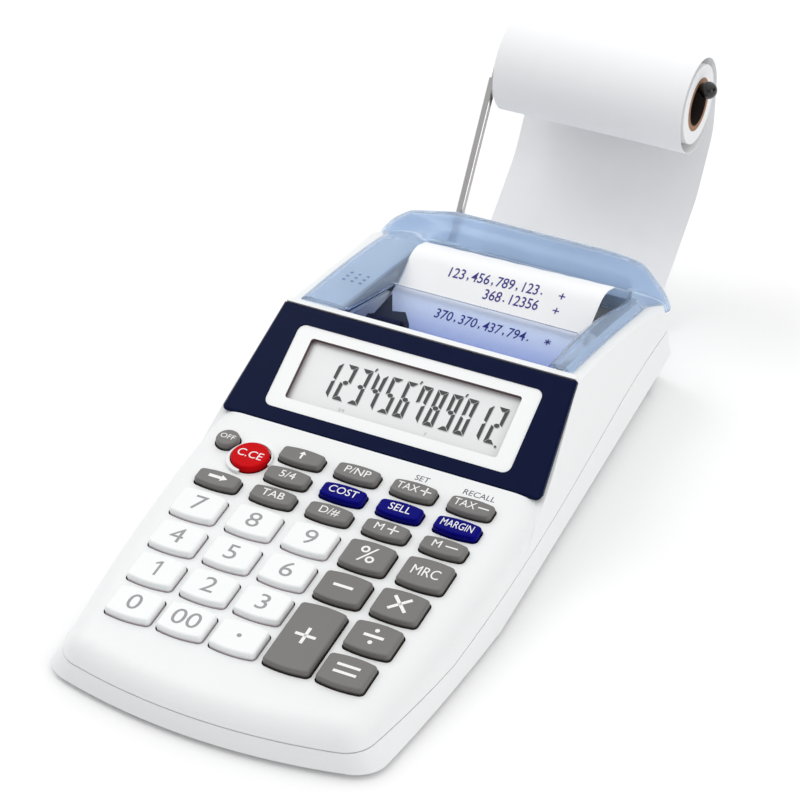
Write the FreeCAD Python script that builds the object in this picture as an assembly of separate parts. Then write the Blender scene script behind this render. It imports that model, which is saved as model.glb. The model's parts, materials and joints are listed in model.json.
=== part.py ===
"""Printing desk calculator as separate pieces, in millimetres.

X runs to the right, Y to the back, Z up; the ground is Z = 0.
Pieces that lie on the key panel or on the display are drawn flat and then tilted into place.
"""
import math
import os

import FreeCAD
import Part

V = FreeCAD.Vector
ALONG_X = V(1, 0, 0)
UP = V(0, 0, 1)

# Case
WALL = 2.0
FOOT_HEIGHT = 1.4
CASE_FRONT = -125.42
CASE_REAR = 68.5
FRONT_CORNER = -118.6
REAR_CORNER = 67.0
SIDE_STATIONS = (-83.0, -58.0, -20.0)
LOW_HALF_WIDTHS = (46.5, 49.0, 49.8, 50.1, 49.0)
HIGH_HALF_WIDTHS = (29.0, 41.6, 45.4, 46.4, 46.2)
HIGH_LEVEL = 24.0
HIGH_FRONT_LEAN = 4.5
HIGH_CORNER_LEAN = 1.6
HIGH_REAR_LEAN = 1.8
TOP_LEVEL = 42.0
TOP_HALF_WIDTHS = (19.0, 36.9, 41.1, 42.3, 42.0)
FRONT_CORNER_RADIUS = 9.0
REAR_CORNER_RADIUS = 7.0
FRONT_ROLL_RADIUS = 9.0
WAIST_FRONT_Y = -64.0
WAIST_RISE = 0.1435
TUCK_ANGLE = 25.0
SEAM_POINTS = ((-140.0, 6.5), (-79.0, 6.5), (10.0, 15.6), (80.0, 23.3))
SEAM_GAP = 0.3

# Display hump and rear deck
DECK_END = 70.0
DISPLAY_Y = -25.0
DISPLAY_Z = 22.3
DISPLAY_TILT = 29.25
DISPLAY_LENGTH = 33.35
RIM_WIDTH = 2.0
DECK_FRONT_Z = 37.0
DECK_MID_Y = 33.0
DECK_MID_Z = 33.2
DECK_REAR_Z = 25.4

# Display pieces
BEZEL_THICKNESS = 1.8
BEZEL_LIP = 2.0
LIP_THICKNESS = 0.9
BEZEL_CORNER = 1.6
BEZEL_INSET = 0.2
BEZEL_BEVEL = 0.6
BEZEL_GAP = 0.1
FRAME_HALF = 35.7
FRAME_FROM = 2.8
FRAME_TO = 27.9
FRAME_DEPTH = 1.5
FRAME_CLEARANCE = 0.1
FRAME_CORNER = 2.2
WINDOW_HALF = 30.85
WINDOW_FROM = 6.2
WINDOW_TO = 24.7
WINDOW_CORNER = 0.9
LCD_MARGIN = 1.6
LCD_CLEARANCE = 0.1

# Key panel
PANEL_TILT = 6.5
PANEL_Y = -102.0
PANEL_Z = 13.2
KEY_RISE = 1.9
KEY_CLEARANCE = 0.35
FLANGE_THICKNESS = 1.0
FLANGE_MARGIN = 0.6
FLANGE_GAP = 0.2
BIG_KEY = (12.8, 10.2)
SMALL_KEY = (12.2, 5.8)
KEY_CORNER = 1.2
KEY_EDGE = 0.8
KEY_BOW = 0.7
PITCH = 16.1
FAN = 0.48
OFF_KEY = (-37.5, 64.1, 3.2)
CLEAR_KEY = (-28.8, 60.3, 5.1)
ROW_C = 65.1
ROW_B = 57.0
ROW_A = 49.1
ROW_1 = 38.7
ROW_2 = 26.15
ROW_3 = 13.65
ROW_4 = 1.1
MAT_TOP = 5.0
MAT_THICKNESS = 1.0
BOARD_THICKNESS = 1.2
BOARD_HALF = 39.5
BOARD_FROM = -6.5
BOARD_TO = 66.5

# Paper
PAPER_WIDTH = 57.5
PAPER_THICKNESS = 0.25
PAPER_X = 2.5
ROLL_X = 3.8
ROLL_Z = 63.3
ROLL_RADIUS = 11.5
CORE_RADIUS = 7.75
CORE_HOLE = 6.0
INLET_Y = 67.5
INLET_Z = 8.2
SLOT_HALF_HEIGHT = 2.2
SLOT_MARGIN = 1.2
TEAR_Y = 36.5
TEAR_BEND = (38.0, 28.65)
TAPE_TOP = (49.5, 34.4)
TAPE_END = (60.5, 30.4)
WEB_BACK_FACE = 125.0

# Paper arm
ARM_X = -28.3
PIVOT_Y = 77.1
PIVOT_Z = 16.0
ARM_ANGLE = 57.2
TUBE_RADIUS = 1.3
TUBE_LENGTH = 51.9
TUBE_BORE_FROM = 22.0
ROD_RADIUS = 0.7
ROD_CLEARANCE = 0.06
ROD_FROM = 30.0
ROD_BEND = 2.5
ROD_Z = 68.5
EYE_RADIUS = 3.0
EYE_LENGTH = 4.6
PIN_RADIUS = 1.2
PIN_CLEARANCE = 0.06
LUG_RADIUS = 3.4
LUG_THICKNESS = 2.3
LUG_GAP = 0.2
LUG_FROM = 65.5
KNOB_RADIUS = 2.5
KNOB_X = 35.2

# Printer
PLATEN_Y = 27.0
PLATEN_Z = 19.5
PLATEN_RADIUS = 4.5
PLATEN_LENGTH = 57.8
SHAFT_RADIUS = 1.5
RUNNING_FIT = 0.05
CHEEK_INNER = 29.4
CHEEK_THICKNESS = 1.2
CHEEK_FRONT = 9.5
CHEEK_REAR = 44.0
BASE_THICKNESS = 1.6
GEAR_MODULE = 0.6
GEAR_TEETH = 24
PINION_TEETH = 14
GEAR_THICKNESS = 2.8
GEAR_GAP = 2.0
BACKLASH = 0.05
MOTOR_DIRECTION = 216.87
MOTOR_RADIUS = 6.0
MOTOR_LENGTH = 20.0
MOTOR_SHAFT = 0.9
GUIDE_Y = 11.0
GUIDE_Z = 27.0
GUIDE_RADIUS = 1.2
CARRIAGE_WIDTH = 12.0
CARRIAGE_X = -18.0
HEAD_TOP = 30.4
HEAD_THICKNESS = 1.0
HEAD_STEP_Y = 23.0
HEAD_REAR = 31.0
INK_Y = 15.3
INK_Z = 31.2
INK_RADIUS = 2.0
INK_PIN = 0.6

# Printer cover
COVER_THICKNESS = 1.4
COVER_GAP = 0.15
COVER_FRONT = 6.7
WING_HALF = 38.4
WELL_LEFT = -27.0
WELL_RIGHT = 34.4
SIDE_WALL = 1.3
HOOD_FRONT = 61.3
HOOD_REAR = 67.0
HOOD_TOP = 37.2
HOOD_LEAN = 2.0
HOOD_TOP_HALF = 33.0
HOOD_FOOT_HALF = 43.4
PANE_TOP = 38.2
PANE_END = 30.0
OPENING_MARGIN = 1.0

# Underside
CELL_RADIUS = 5.25
CELL_LENGTH = 44.5
CELL_LEFT = -43.0
CELL_PITCH = 11.0
CELL_FIRST_Y = -29.5
DOOR_MARGIN = 1.0
DOOR_THICKNESS = 0.9
DOOR_CLEARANCE = 0.1
DOOR_TRAVEL = 8.0
FOOT_RADIUS = 4.2
FOOT_PLACES = ((-36.0, -105.0), (36.0, -105.0), (-31.0, 48.0), (31.0, 48.0))
SCREW_PLACES = ((-42.2, -60.0), (42.2, -60.0), (-40.0, 58.0), (40.0, 58.0))
SCREW_RADIUS = 1.1
SCREW_HEAD = 2.1
SCREW_TOP = 13.5
BOSS_RADIUS = 2.5
BOSS_TOP = 10.0
POST_CLEARANCE = 0.2

KEY_ROWS = {
    "key_up": (2, ROW_C, SMALL_KEY), "key_print": (3, ROW_C, SMALL_KEY),
    "key_tax_plus": (4, ROW_C, SMALL_KEY), "key_tax_minus": (5, ROW_C, SMALL_KEY),
    "key_round": (2, ROW_B, SMALL_KEY), "key_cost": (3, ROW_B, SMALL_KEY),
    "key_sell": (4, ROW_B, SMALL_KEY), "key_margin": (5, ROW_B, SMALL_KEY),
    "key_back": (1, ROW_A, SMALL_KEY), "key_tab": (2, ROW_A, SMALL_KEY),
    "key_date": (3, ROW_A, SMALL_KEY), "key_memory_plus": (4, ROW_A, SMALL_KEY),
    "key_memory_minus": (5, ROW_A, SMALL_KEY),
    "key_7": (1, ROW_1, BIG_KEY), "key_8": (2, ROW_1, BIG_KEY), "key_9": (3, ROW_1, BIG_KEY),
    "key_percent": (4, ROW_1, BIG_KEY), "key_memory_recall": (5, ROW_1, BIG_KEY),
    "key_4": (1, ROW_2, BIG_KEY), "key_5": (2, ROW_2, BIG_KEY), "key_6": (3, ROW_2, BIG_KEY),
    "key_minus": (4, ROW_2, BIG_KEY), "key_times": (5, ROW_2, BIG_KEY),
    "key_1": (1, ROW_3, BIG_KEY), "key_2": (2, ROW_3, BIG_KEY), "key_3": (3, ROW_3, BIG_KEY),
    "key_divide": (5, ROW_3, BIG_KEY),
    "key_0": (1, ROW_4, BIG_KEY), "key_00": (2, ROW_4, BIG_KEY), "key_point": (3, ROW_4, BIG_KEY),
    "key_equals": (5, ROW_4, BIG_KEY),
}


def box(x0, x1, y0, y1, z0, z1):
    return Part.makeBox(x1 - x0, y1 - y0, z1 - z0, V(x0, y0, z0))


def side_prism(points, x0, x1):
    """Solid with the side view given as (Y, Z) points, from x0 to x1."""
    loop = [V(x0, y, z) for y, z in points]
    return Part.Face(Part.makePolygon(loop + loop[:1])).extrude(V(x1 - x0, 0, 0))


def plan_prism(points, z0, z1):
    loop = [V(x, y, z0) for x, y in points]
    return Part.Face(Part.makePolygon(loop + loop[:1])).extrude(V(0, 0, z1 - z0))


def rod_x(radius, x0, x1, y, z):
    return Part.makeCylinder(radius, x1 - x0, V(x0, y, z), ALONG_X)


def rounded_block(width, depth, corner, z0, z1):
    block = box(-width / 2, width / 2, -depth / 2, depth / 2, z0, z1)
    uprights = [e for e in block.Edges if abs(e.Vertexes[0].Z - e.Vertexes[-1].Z) > 1e-6]
    return block.makeFillet(corner, uprights)


def on_panel(shape, u=0.0, v=0.0):
    """Tilt a shape drawn flat (panel face at z = 0) onto the key panel."""
    placed = shape.copy()
    placed.translate(V(u, v, 0))
    placed.rotate(V(0, 0, 0), ALONG_X, PANEL_TILT)
    placed.translate(V(0, PANEL_Y, PANEL_Z))
    return placed


def on_display(shape):
    """Tilt a shape drawn flat (bezel face at z = 0, y up the slope) onto the display."""
    placed = shape.copy()
    placed.rotate(V(0, 0, 0), ALONG_X, DISPLAY_TILT)
    placed.translate(V(0, DISPLAY_Y, DISPLAY_Z))
    return placed


def panel_z(y):
    return PANEL_Z + (y - PANEL_Y) * math.tan(math.radians(PANEL_TILT))


# Case forms

def case_outline(halves, front, corner, rear_corner, rear, inset, z):
    ys = (corner + inset,) + SIDE_STATIONS + (rear_corner - inset,)
    right = [V(half - inset, y, z) for half, y in zip(halves, ys)]
    left = [V(-p.x, p.y, p.z) for p in right]
    right_side = Part.BSplineCurve()
    right_side.interpolate(right)
    left_side = Part.BSplineCurve()
    left_side.interpolate(left[::-1])
    return Part.Wire([
        Part.Arc(left[0], V(0, front + inset, z), right[0]).toShape(),
        right_side.toShape(),
        Part.Arc(right[-1], V(0, rear - inset, z), left[-1]).toShape(),
        left_side.toShape()])


def corner_edges(shape, at_front):
    found = []
    for edge in shape.Edges:
        first, last = edge.Vertexes[0], edge.Vertexes[-1]
        upright = abs(first.Z - last.Z) > HIGH_LEVEL / 2
        near = max(first.Y, last.Y) < -100 if at_front else min(first.Y, last.Y) > 50
        if upright and near:
            found.append(edge)
    return found


def deck_arc(lift, x):
    front_y = DISPLAY_Y + DISPLAY_LENGTH * math.cos(math.radians(DISPLAY_TILT)) + RIM_WIDTH
    return Part.Arc(
        V(x, front_y, DECK_FRONT_Z + lift), V(x, DECK_MID_Y, DECK_MID_Z + lift),
        V(x, DECK_END, DECK_REAR_Z + lift)).toShape()


def deck_circle():
    """Centre (Y, Z) and radius of the rear deck."""
    circle = deck_arc(0.0, 0.0).Curve
    return circle.Center.y, circle.Center.z, circle.Radius


def deck_z(y):
    centre_y, centre_z, radius = deck_circle()
    return centre_z + math.sqrt(radius ** 2 - (y - centre_y) ** 2)


def case_profile(inset):
    """Side view of the case: key panel, display slope, rim behind the bezel, rear deck."""
    x = -70.0
    panel_drop = inset / math.cos(math.radians(PANEL_TILT))
    slope = math.tan(math.radians(DISPLAY_TILT))
    slope_drop = (BEZEL_THICKNESS + inset) / math.cos(math.radians(DISPLAY_TILT))
    panel_slope = math.tan(math.radians(PANEL_TILT))
    foot_y = ((DISPLAY_Z - slope_drop - slope * DISPLAY_Y) - (PANEL_Z - panel_drop - panel_slope * PANEL_Y))
    foot_y = foot_y / (panel_slope - slope)
    arc = deck_arc(-inset, x)
    start, end = arc.Vertexes[0].Point, arc.Vertexes[-1].Point
    floor = FOOT_HEIGHT + inset
    corners = [end, V(x, end.y + 20, end.z), V(x, end.y + 20, floor), V(x, -150, floor),
               V(x, -150, panel_z(-150) - panel_drop), V(x, foot_y, panel_z(foot_y) - panel_drop)]
    if inset == 0:
        top_y = start.y - RIM_WIDTH
        top_z = DISPLAY_Z + (top_y - DISPLAY_Y) * slope
        back_y = top_y + BEZEL_THICKNESS * math.sin(math.radians(DISPLAY_TILT))
        back_z = top_z - BEZEL_THICKNESS * math.cos(math.radians(DISPLAY_TILT))
        corners += [V(x, back_y, back_z), V(x, top_y, top_z), V(x, start.y, top_z)]
    else:
        corners += [V(x, DISPLAY_Y + (start.z + slope_drop - DISPLAY_Z) / slope, start.z)]
    outline = Part.makePolygon(corners + [start])
    return Part.Face(Part.Wire(outline.Edges + [arc])).extrude(V(140, 0, 0))


def base_form(inset):
    """Whole case before its lower sides are tucked in, drawn in from the outside by inset."""
    wires = []
    levels = ((0.0, LOW_HALF_WIDTHS), (HIGH_LEVEL, HIGH_HALF_WIDTHS), (TOP_LEVEL, TOP_HALF_WIDTHS))
    for level, halves in levels:
        part = level / HIGH_LEVEL
        wires.append(case_outline(
            halves, CASE_FRONT + HIGH_FRONT_LEAN * part, FRONT_CORNER + HIGH_CORNER_LEAN * part,
            REAR_CORNER - HIGH_REAR_LEAN * part, CASE_REAR - HIGH_REAR_LEAN * part, inset, level))
    form = Part.makeLoft(wires, True, True)
    form = form.makeFillet(FRONT_CORNER_RADIUS - inset, corner_edges(form, True))
    form = form.makeFillet(REAR_CORNER_RADIUS - inset, corner_edges(form, False))
    form = form.common(case_profile(inset))
    drop = inset / math.cos(math.radians(PANEL_TILT))
    front_edges = []
    for edge in form.Edges:
        middle = edge.valueAt((edge.FirstParameter + edge.LastParameter) / 2)
        spots = [middle] + [v.Point for v in edge.Vertexes]
        if middle.y < -111 and all(abs(p.z - panel_z(p.y) + drop) < 0.02 for p in spots):
            front_edges.append(edge)
    return form.makeFillet(FRONT_ROLL_RADIUS - inset, front_edges)


def tuck_cutters(inset):
    """Big blocks that take the lower sides in below the widest line."""
    half = max(LOW_HALF_WIDTHS)
    cutters = []
    for side in (1, -1):
        along = V(0, 1, WAIST_RISE)
        inward = V(-side * math.tan(math.radians(TUCK_ANGLE)), 0, -1)
        outward = along.cross(inward).multiply(-side).normalize()
        block = Part.makeBox(500, 500, 100, V(-250, -250, 0))
        block.Placement = FreeCAD.Placement(
            V(side * half, WAIST_FRONT_Y, FOOT_HEIGHT) - outward * inset,
            FreeCAD.Rotation(UP, outward))
        cutters.append(block)
    return cutters


def case_form(inset):
    form = base_form(inset)
    for cutter in tuck_cutters(inset):
        form = form.cut(cutter)
    return form.removeSplitter()


def seam_block(shift, above):
    points = [(y, z + shift) for y, z in SEAM_POINTS]
    far = 90 if above else -10
    return side_prism(points + [(points[-1][0], far), (points[0][0], far)], -70, 70)


# Keys

def key_column(column, row):
    steps = max(0.0, (ROW_1 - row) / (ROW_1 - ROW_2))
    return (column - 3) * (PITCH - FAN * steps)


def key_places():
    """Name to (u, v, width, depth); a round key has depth 0 and its diameter as width."""
    places = {}
    for name, (column, row, size) in KEY_ROWS.items():
        places[name] = (key_column(column, row), row, size[0], size[1])
    middle = (ROW_3 + ROW_4) / 2
    places["key_plus"] = (key_column(4, middle), middle, BIG_KEY[0], BIG_KEY[1] + ROW_3 - ROW_4)
    for name, (u, v, radius) in (("key_off", OFF_KEY), ("key_clear", CLEAR_KEY)):
        places[name] = (u, v, 2 * radius, 0.0)
    return places


def key_block(width, depth, grow, z0, z1):
    """Round key, or a block whose front and back edges bow outwards."""
    if depth == 0:
        return Part.makeCylinder(width / 2 + grow, z1 - z0, V(0, 0, z0))
    half = width / 2 + grow
    middle = depth / 2 + grow
    end = middle - KEY_BOW
    outline = Part.Wire([
        Part.Arc(V(-half, -end, z0), V(0, -middle, z0), V(half, -end, z0)).toShape(),
        Part.makeLine(V(half, -end, z0), V(half, end, z0)),
        Part.Arc(V(half, end, z0), V(0, middle, z0), V(-half, end, z0)).toShape(),
        Part.makeLine(V(-half, end, z0), V(-half, -end, z0))])
    block = Part.Face(outline).extrude(V(0, 0, z1 - z0))
    uprights = [e for e in block.Edges if abs(e.Vertexes[0].Z - e.Vertexes[-1].Z) > 1e-6]
    return block.makeFillet(KEY_CORNER + grow, uprights)


def key_solid(width, depth):
    foot = -WALL - FLANGE_GAP - FLANGE_THICKNESS
    cap = key_block(width, depth, 0.0, foot, KEY_RISE)
    rim = [e for e in cap.Edges if all(abs(v.Z - KEY_RISE) < 1e-6 for v in e.Vertexes)]
    cap = cap.makeFillet(KEY_EDGE, rim)
    margin = FLANGE_MARGIN if depth else FLANGE_MARGIN / 2
    return cap.fuse(key_block(width, depth, margin, foot, foot + FLANGE_THICKNESS)).removeSplitter()


# Paper

def ribbon(points, thickness, x0, x1):
    """Sheet that follows rounded corners: points are (Y, Z, corner radius)."""
    half = thickness / 2
    flat = [V(x0, p[0], p[1]) for p in points]
    sides = []
    for side in (1, -1):
        corners = []
        for i, place in enumerate(flat):
            before = (place - flat[i - 1]).normalize() if i else None
            after = (flat[i + 1] - place).normalize() if i + 1 < len(flat) else None
            a = before or after
            b = after or before
            na = V(0, -a.z, a.y)
            nb = V(0, -b.z, b.y)
            shift = (na + nb) * (side * half / (1 + na.dot(nb)))
            turn = a.y * b.z - a.z * b.y
            corners.append((place + shift, points[i][2] - side * half * math.copysign(1, turn)))
        sides.append(corners)
    edges = rounded_edges(sides[0]) + rounded_edges(sides[1])
    for end in (0, -1):
        edges.append(Part.makeLine(sides[0][end][0], sides[1][end][0]))
    wire = Part.Wire(Part.__sortEdges__(edges))
    return Part.Face(wire).extrude(V(x1 - x0, 0, 0))


def rounded_edges(corners):
    edges = []
    start = corners[0][0]
    for (before, _), (place, radius), (after, _) in zip(corners, corners[1:], corners[2:]):
        a = (before - place).normalize()
        b = (after - place).normalize()
        angle = a.getAngle(b)
        reach = radius / math.tan(angle / 2)
        first = place + a * reach
        last = place + b * reach
        toward = (a + b).normalize()
        middle = place + toward * (radius / math.sin(angle / 2) - radius)
        if first.distanceToPoint(start) > 1e-4:
            edges.append(Part.makeLine(start, first))
        edges.append(Part.Arc(first, middle, last).toShape())
        start = last
    edges.append(Part.makeLine(start, corners[-1][0]))
    return edges


ARM = V(0, math.cos(math.radians(ARM_ANGLE)), math.sin(math.radians(ARM_ANGLE)))
PIVOT = V(ARM_X, PIVOT_Y, PIVOT_Z)
ROD_REACH = (ROD_Z - PIVOT_Z) / ARM.z
ROLL_Y = PIVOT_Y + ROD_REACH * ARM.y
PATH_RADIUS = PLATEN_RADIUS + 0.025 + PAPER_THICKNESS / 2
PAPER_LOW = PLATEN_Z - PATH_RADIUS
PAPER_FRONT = PLATEN_Y - PATH_RADIUS
WEB_BACK = WEB_BACK_FACE - PAPER_THICKNESS / 2


def paper_path():
    across = TEAR_BEND[0] - PLATEN_Y
    up = TEAR_BEND[1] - PLATEN_Z
    off_platen = math.acos(PATH_RADIUS / math.hypot(across, up))
    slope = math.tan(math.atan2(up, across) + off_platen - math.pi / 2)
    corner_z = TEAR_BEND[1] - slope * (TEAR_BEND[0] - PAPER_FRONT)
    inside = [
        TAPE_END + (0,), TAPE_TOP + (9.0,), TEAR_BEND + (6.0,), (PAPER_FRONT, corner_z, PATH_RADIUS),
        (PAPER_FRONT, PAPER_LOW, PATH_RADIUS), (PLATEN_Y + 23.0, PAPER_LOW, 16.0)]
    hanging = [
        (INLET_Y + 5.0, INLET_Z - 2.1, 8.0), (88.5, 5.0, 8.0), (114.2, 30.5, 20.0),
        (WEB_BACK, 47.5, 16.0), (WEB_BACK, 59.5, 14.0)]
    turn = [
        (10.7, 7.2, 8.0), (2.1, 13.7, 7.0), (-7.4, 12.2, 8.0), (-13.4, 4.2, 8.0), (-13.8, -5.3, 8.0),
        (-7.4, -12.8, 7.0), (1.2, -14.3, 7.0), (9.0, -7.9, 0)]
    return inside + hanging + [(ROLL_Y + y, ROLL_Z + z, r) for y, z, r in turn]


def paper_strip():
    half = PAPER_WIDTH / 2
    return ribbon(paper_path(), PAPER_THICKNESS, PAPER_X - half, PAPER_X + half)


# Printer

def gear(teeth, phase, x0, x1, y, z, bore):
    pitch = 2 * math.pi / teeth
    radius = GEAR_MODULE * teeth / 2
    root = radius - 1.15 * GEAR_MODULE
    tip = radius + 0.8 * GEAR_MODULE
    loop = []
    for i in range(teeth):
        centre = phase + i * pitch
        for turn, reach in ((-0.29, root), (-0.12, tip), (0.12, tip), (0.29, root)):
            angle = centre + turn * pitch
            loop.append((y + reach * math.cos(angle), z + reach * math.sin(angle)))
    return side_prism(loop, x0, x1).cut(rod_x(bore, x0 - 1, x1 + 1, y, z))


GEAR_X = CHEEK_INNER + CHEEK_THICKNESS + GEAR_GAP
GEAR_DISTANCE = GEAR_MODULE * (GEAR_TEETH + PINION_TEETH) / 2 + BACKLASH
MOTOR_Y = PLATEN_Y + GEAR_DISTANCE * math.cos(math.radians(MOTOR_DIRECTION))
MOTOR_Z = PLATEN_Z + GEAR_DISTANCE * math.sin(math.radians(MOTOR_DIRECTION))
FLOOR = FOOT_HEIGHT + WALL


def pane_z(y):
    return PANE_TOP + (y - COVER_FRONT) * (PANE_END - PANE_TOP) / (TEAR_Y - COVER_FRONT)


def at_paper(shape):
    """The printer stands off centre, in line with the paper."""
    shape.translate(V(PAPER_X, 0, 0))
    return shape


def printer_frame():
    under = 2 * COVER_THICKNESS
    outline = [
        (CHEEK_FRONT, FLOOR), (CHEEK_REAR, FLOOR), (CHEEK_REAR, PLATEN_Z),
        (TEAR_Y - 1, pane_z(TEAR_Y - 1) - under), (CHEEK_FRONT, pane_z(CHEEK_FRONT) - under)]
    left = side_prism(outline, -CHEEK_INNER - CHEEK_THICKNESS, -CHEEK_INNER)
    right = side_prism(outline, CHEEK_INNER, CHEEK_INNER + CHEEK_THICKNESS)
    right = right.cut(rod_x(2 * MOTOR_SHAFT, CHEEK_INNER - 1, GEAR_X, MOTOR_Y, MOTOR_Z))
    base = box(-CHEEK_INNER, CHEEK_INNER, CHEEK_FRONT, CHEEK_REAR, FLOOR, FLOOR + BASE_THICKNESS)
    frame = left.fuse(right).fuse(base)
    for radius, y, z in ((SHAFT_RADIUS + RUNNING_FIT, PLATEN_Y, PLATEN_Z), (GUIDE_RADIUS, GUIDE_Y, GUIDE_Z)):
        frame = frame.cut(rod_x(radius, -50, 50, y, z))
    return at_paper(frame.removeSplitter())


def platen_roller():
    half = PLATEN_LENGTH / 2
    shaft = rod_x(SHAFT_RADIUS, -CHEEK_INNER - CHEEK_THICKNESS, GEAR_X + GEAR_THICKNESS, PLATEN_Y, PLATEN_Z)
    return at_paper(rod_x(PLATEN_RADIUS, -half, half, PLATEN_Y, PLATEN_Z).fuse(shaft))


def feed_gear():
    toward_motor = math.radians(MOTOR_DIRECTION)
    wheel = gear(GEAR_TEETH, toward_motor, GEAR_X, GEAR_X + GEAR_THICKNESS, PLATEN_Y, PLATEN_Z, SHAFT_RADIUS)
    return at_paper(wheel)


def drive_motor():
    body = rod_x(MOTOR_RADIUS, CHEEK_INNER - MOTOR_LENGTH, CHEEK_INNER, MOTOR_Y, MOTOR_Z)
    return at_paper(body.fuse(rod_x(MOTOR_SHAFT, CHEEK_INNER, GEAR_X + GEAR_THICKNESS, MOTOR_Y, MOTOR_Z)))


def motor_pinion():
    toward_gear = math.radians(MOTOR_DIRECTION + 180) + math.pi / PINION_TEETH
    bore = MOTOR_SHAFT + RUNNING_FIT
    return at_paper(gear(PINION_TEETH, toward_gear, GEAR_X, GEAR_X + GEAR_THICKNESS, MOTOR_Y, MOTOR_Z, bore))


def print_carriage():
    half = CARRIAGE_WIDTH / 2
    block = box(-half, half, GUIDE_Y - 2.0, GUIDE_Y + 3.2, GUIDE_Z - 2.5, GUIDE_Z + 4.5)
    ears = [
        (GUIDE_Y, GUIDE_Z), (INK_Y + 1.2, INK_Z - 1.2), (INK_Y + 1.2, INK_Z + 1.2), (GUIDE_Y, INK_Z + 1.2)]
    for x in (-half, half - 1.0):
        block = block.fuse(side_prism(ears, x, x + 1.0))
    block = block.cut(rod_x(INK_RADIUS + 0.3, 1.0 - half, half - 1.0, INK_Y, INK_Z))
    block = block.cut(rod_x(INK_PIN + RUNNING_FIT, -half, half, INK_Y, INK_Z))
    block = block.cut(rod_x(GUIDE_RADIUS + RUNNING_FIT, -half, half, GUIDE_Y, GUIDE_Z))
    return at_carriage(block.fuse(print_head()).removeSplitter())


def print_head():
    """Stepped plate that reaches from the carriage over the platen."""
    half = CARRIAGE_WIDTH / 2
    ink_clear = INK_Y + INK_RADIUS + 0.3
    plate = plan_prism([
        (-half, GUIDE_Y), (1.0 - half, GUIDE_Y), (1.0 - half, ink_clear), (half - 1.0, ink_clear),
        (half - 1.0, GUIDE_Y), (half, GUIDE_Y), (half - 1.0, ink_clear + 1.5), (1.5, HEAD_STEP_Y + 1.0),
        (-2.0, HEAD_STEP_Y), (-half, HEAD_REAR)], HEAD_TOP - HEAD_THICKNESS, HEAD_TOP)
    return plate


def at_carriage(shape):
    shape.translate(V(CARRIAGE_X, 0, 0))
    return shape


def carriage_shaft():
    reach = CHEEK_INNER + CHEEK_THICKNESS
    return at_paper(rod_x(GUIDE_RADIUS, -reach, reach, GUIDE_Y, GUIDE_Z))


def ink_roller():
    half = CARRIAGE_WIDTH / 2
    drum = rod_x(INK_RADIUS, 1.3 - half, half - 1.3, INK_Y, INK_Z)
    return at_carriage(drum.fuse(rod_x(INK_PIN, -half, half, INK_Y, INK_Z)))


# Printer cover

def cover_wing(side, inner):
    """Flat side rim that lies on the deck, from its outer edge to the printer well."""
    centre_y, centre_z, radius = deck_circle()
    low = COVER_GAP
    high = COVER_GAP + COVER_THICKNESS
    outer = side * WING_HALF
    section = [(outer, low), (outer, high - 0.6), (outer - side * 0.6, high), (inner, high), (inner, low)]
    loop = [V(x, centre_y, centre_z + radius + lift) for x, lift in section]
    ring = Part.Face(Part.makePolygon(loop + loop[:1]))
    wing = ring.revolve(V(0, centre_y, centre_z), ALONG_X, 360)
    return wing.common(box(-60, 60, COVER_FRONT, HOOD_REAR - 2.0, 15, 60))


def cover_pane():
    """Window over the tape with a wall up to each wing; its rear edge tears the paper."""
    window = [
        (COVER_FRONT, PANE_TOP), (COVER_FRONT, PANE_TOP - COVER_THICKNESS),
        (TEAR_Y, PANE_END - COVER_THICKNESS + 0.6), (TEAR_Y, PANE_END)]
    pane = side_prism(window, WELL_LEFT - SIDE_WALL, WELL_RIGHT + SIDE_WALL)
    rise = COVER_GAP + COVER_THICKNESS / 2
    wall = [window[1], window[2]] + [(y, deck_z(y) + rise) for y in (TEAR_Y, 26.5, 16.5, COVER_FRONT)]
    for x in (WELL_LEFT - SIDE_WALL, WELL_RIGHT):
        pane = pane.fuse(side_prism(wall, x, x + SIDE_WALL))
    return pane


def printer_cover():
    cover = cover_wing(1, WELL_RIGHT).fuse(cover_wing(-1, WELL_LEFT))
    return cover.fuse(cover_pane()).fuse(hood()).removeSplitter()


def below_deck(x0, x1):
    arc = deck_arc(COVER_GAP, x0)
    start, end = arc.Vertexes[0].Point, arc.Vertexes[-1].Point
    sides = Part.makePolygon([start, V(x0, start.y, 0), V(x0, end.y, 0), end])
    return Part.Face(Part.Wire(Part.__sortEdges__([arc] + sides.Edges))).extrude(V(x1 - x0, 0, 0))


def hood():
    """Raised ridge across the back of the cover, open below."""
    shells = []
    for inset in (0.0, COVER_THICKNESS):
        side = [(HOOD_FRONT + inset, 15), (HOOD_FRONT + inset, 30.0),
                (HOOD_FRONT + HOOD_LEAN + inset / 2, HOOD_TOP - inset),
                (HOOD_REAR - 1.2 - inset / 2, HOOD_TOP - inset),
                (HOOD_REAR - inset, HOOD_TOP - 3.0), (HOOD_REAR - inset, 15)]
        body = side_prism(side, -60, 60)
        front = [(-HOOD_FOOT_HALF + inset, 15), (-HOOD_FOOT_HALF + inset, 27.5),
                 (-HOOD_TOP_HALF + inset / 2, HOOD_TOP - inset),
                 (HOOD_TOP_HALF - inset / 2, HOOD_TOP - inset),
                 (HOOD_FOOT_HALF - inset, 27.5), (HOOD_FOOT_HALF - inset, 15)]
        loop = [V(x, 0, z) for x, z in front]
        body = body.common(Part.Face(Part.makePolygon(loop + loop[:1])).extrude(V(0, 100, 0)))
        shells.append(body)
    return shells[0].cut(shells[1]).cut(below_deck(-60, 60))


# Cases

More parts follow.
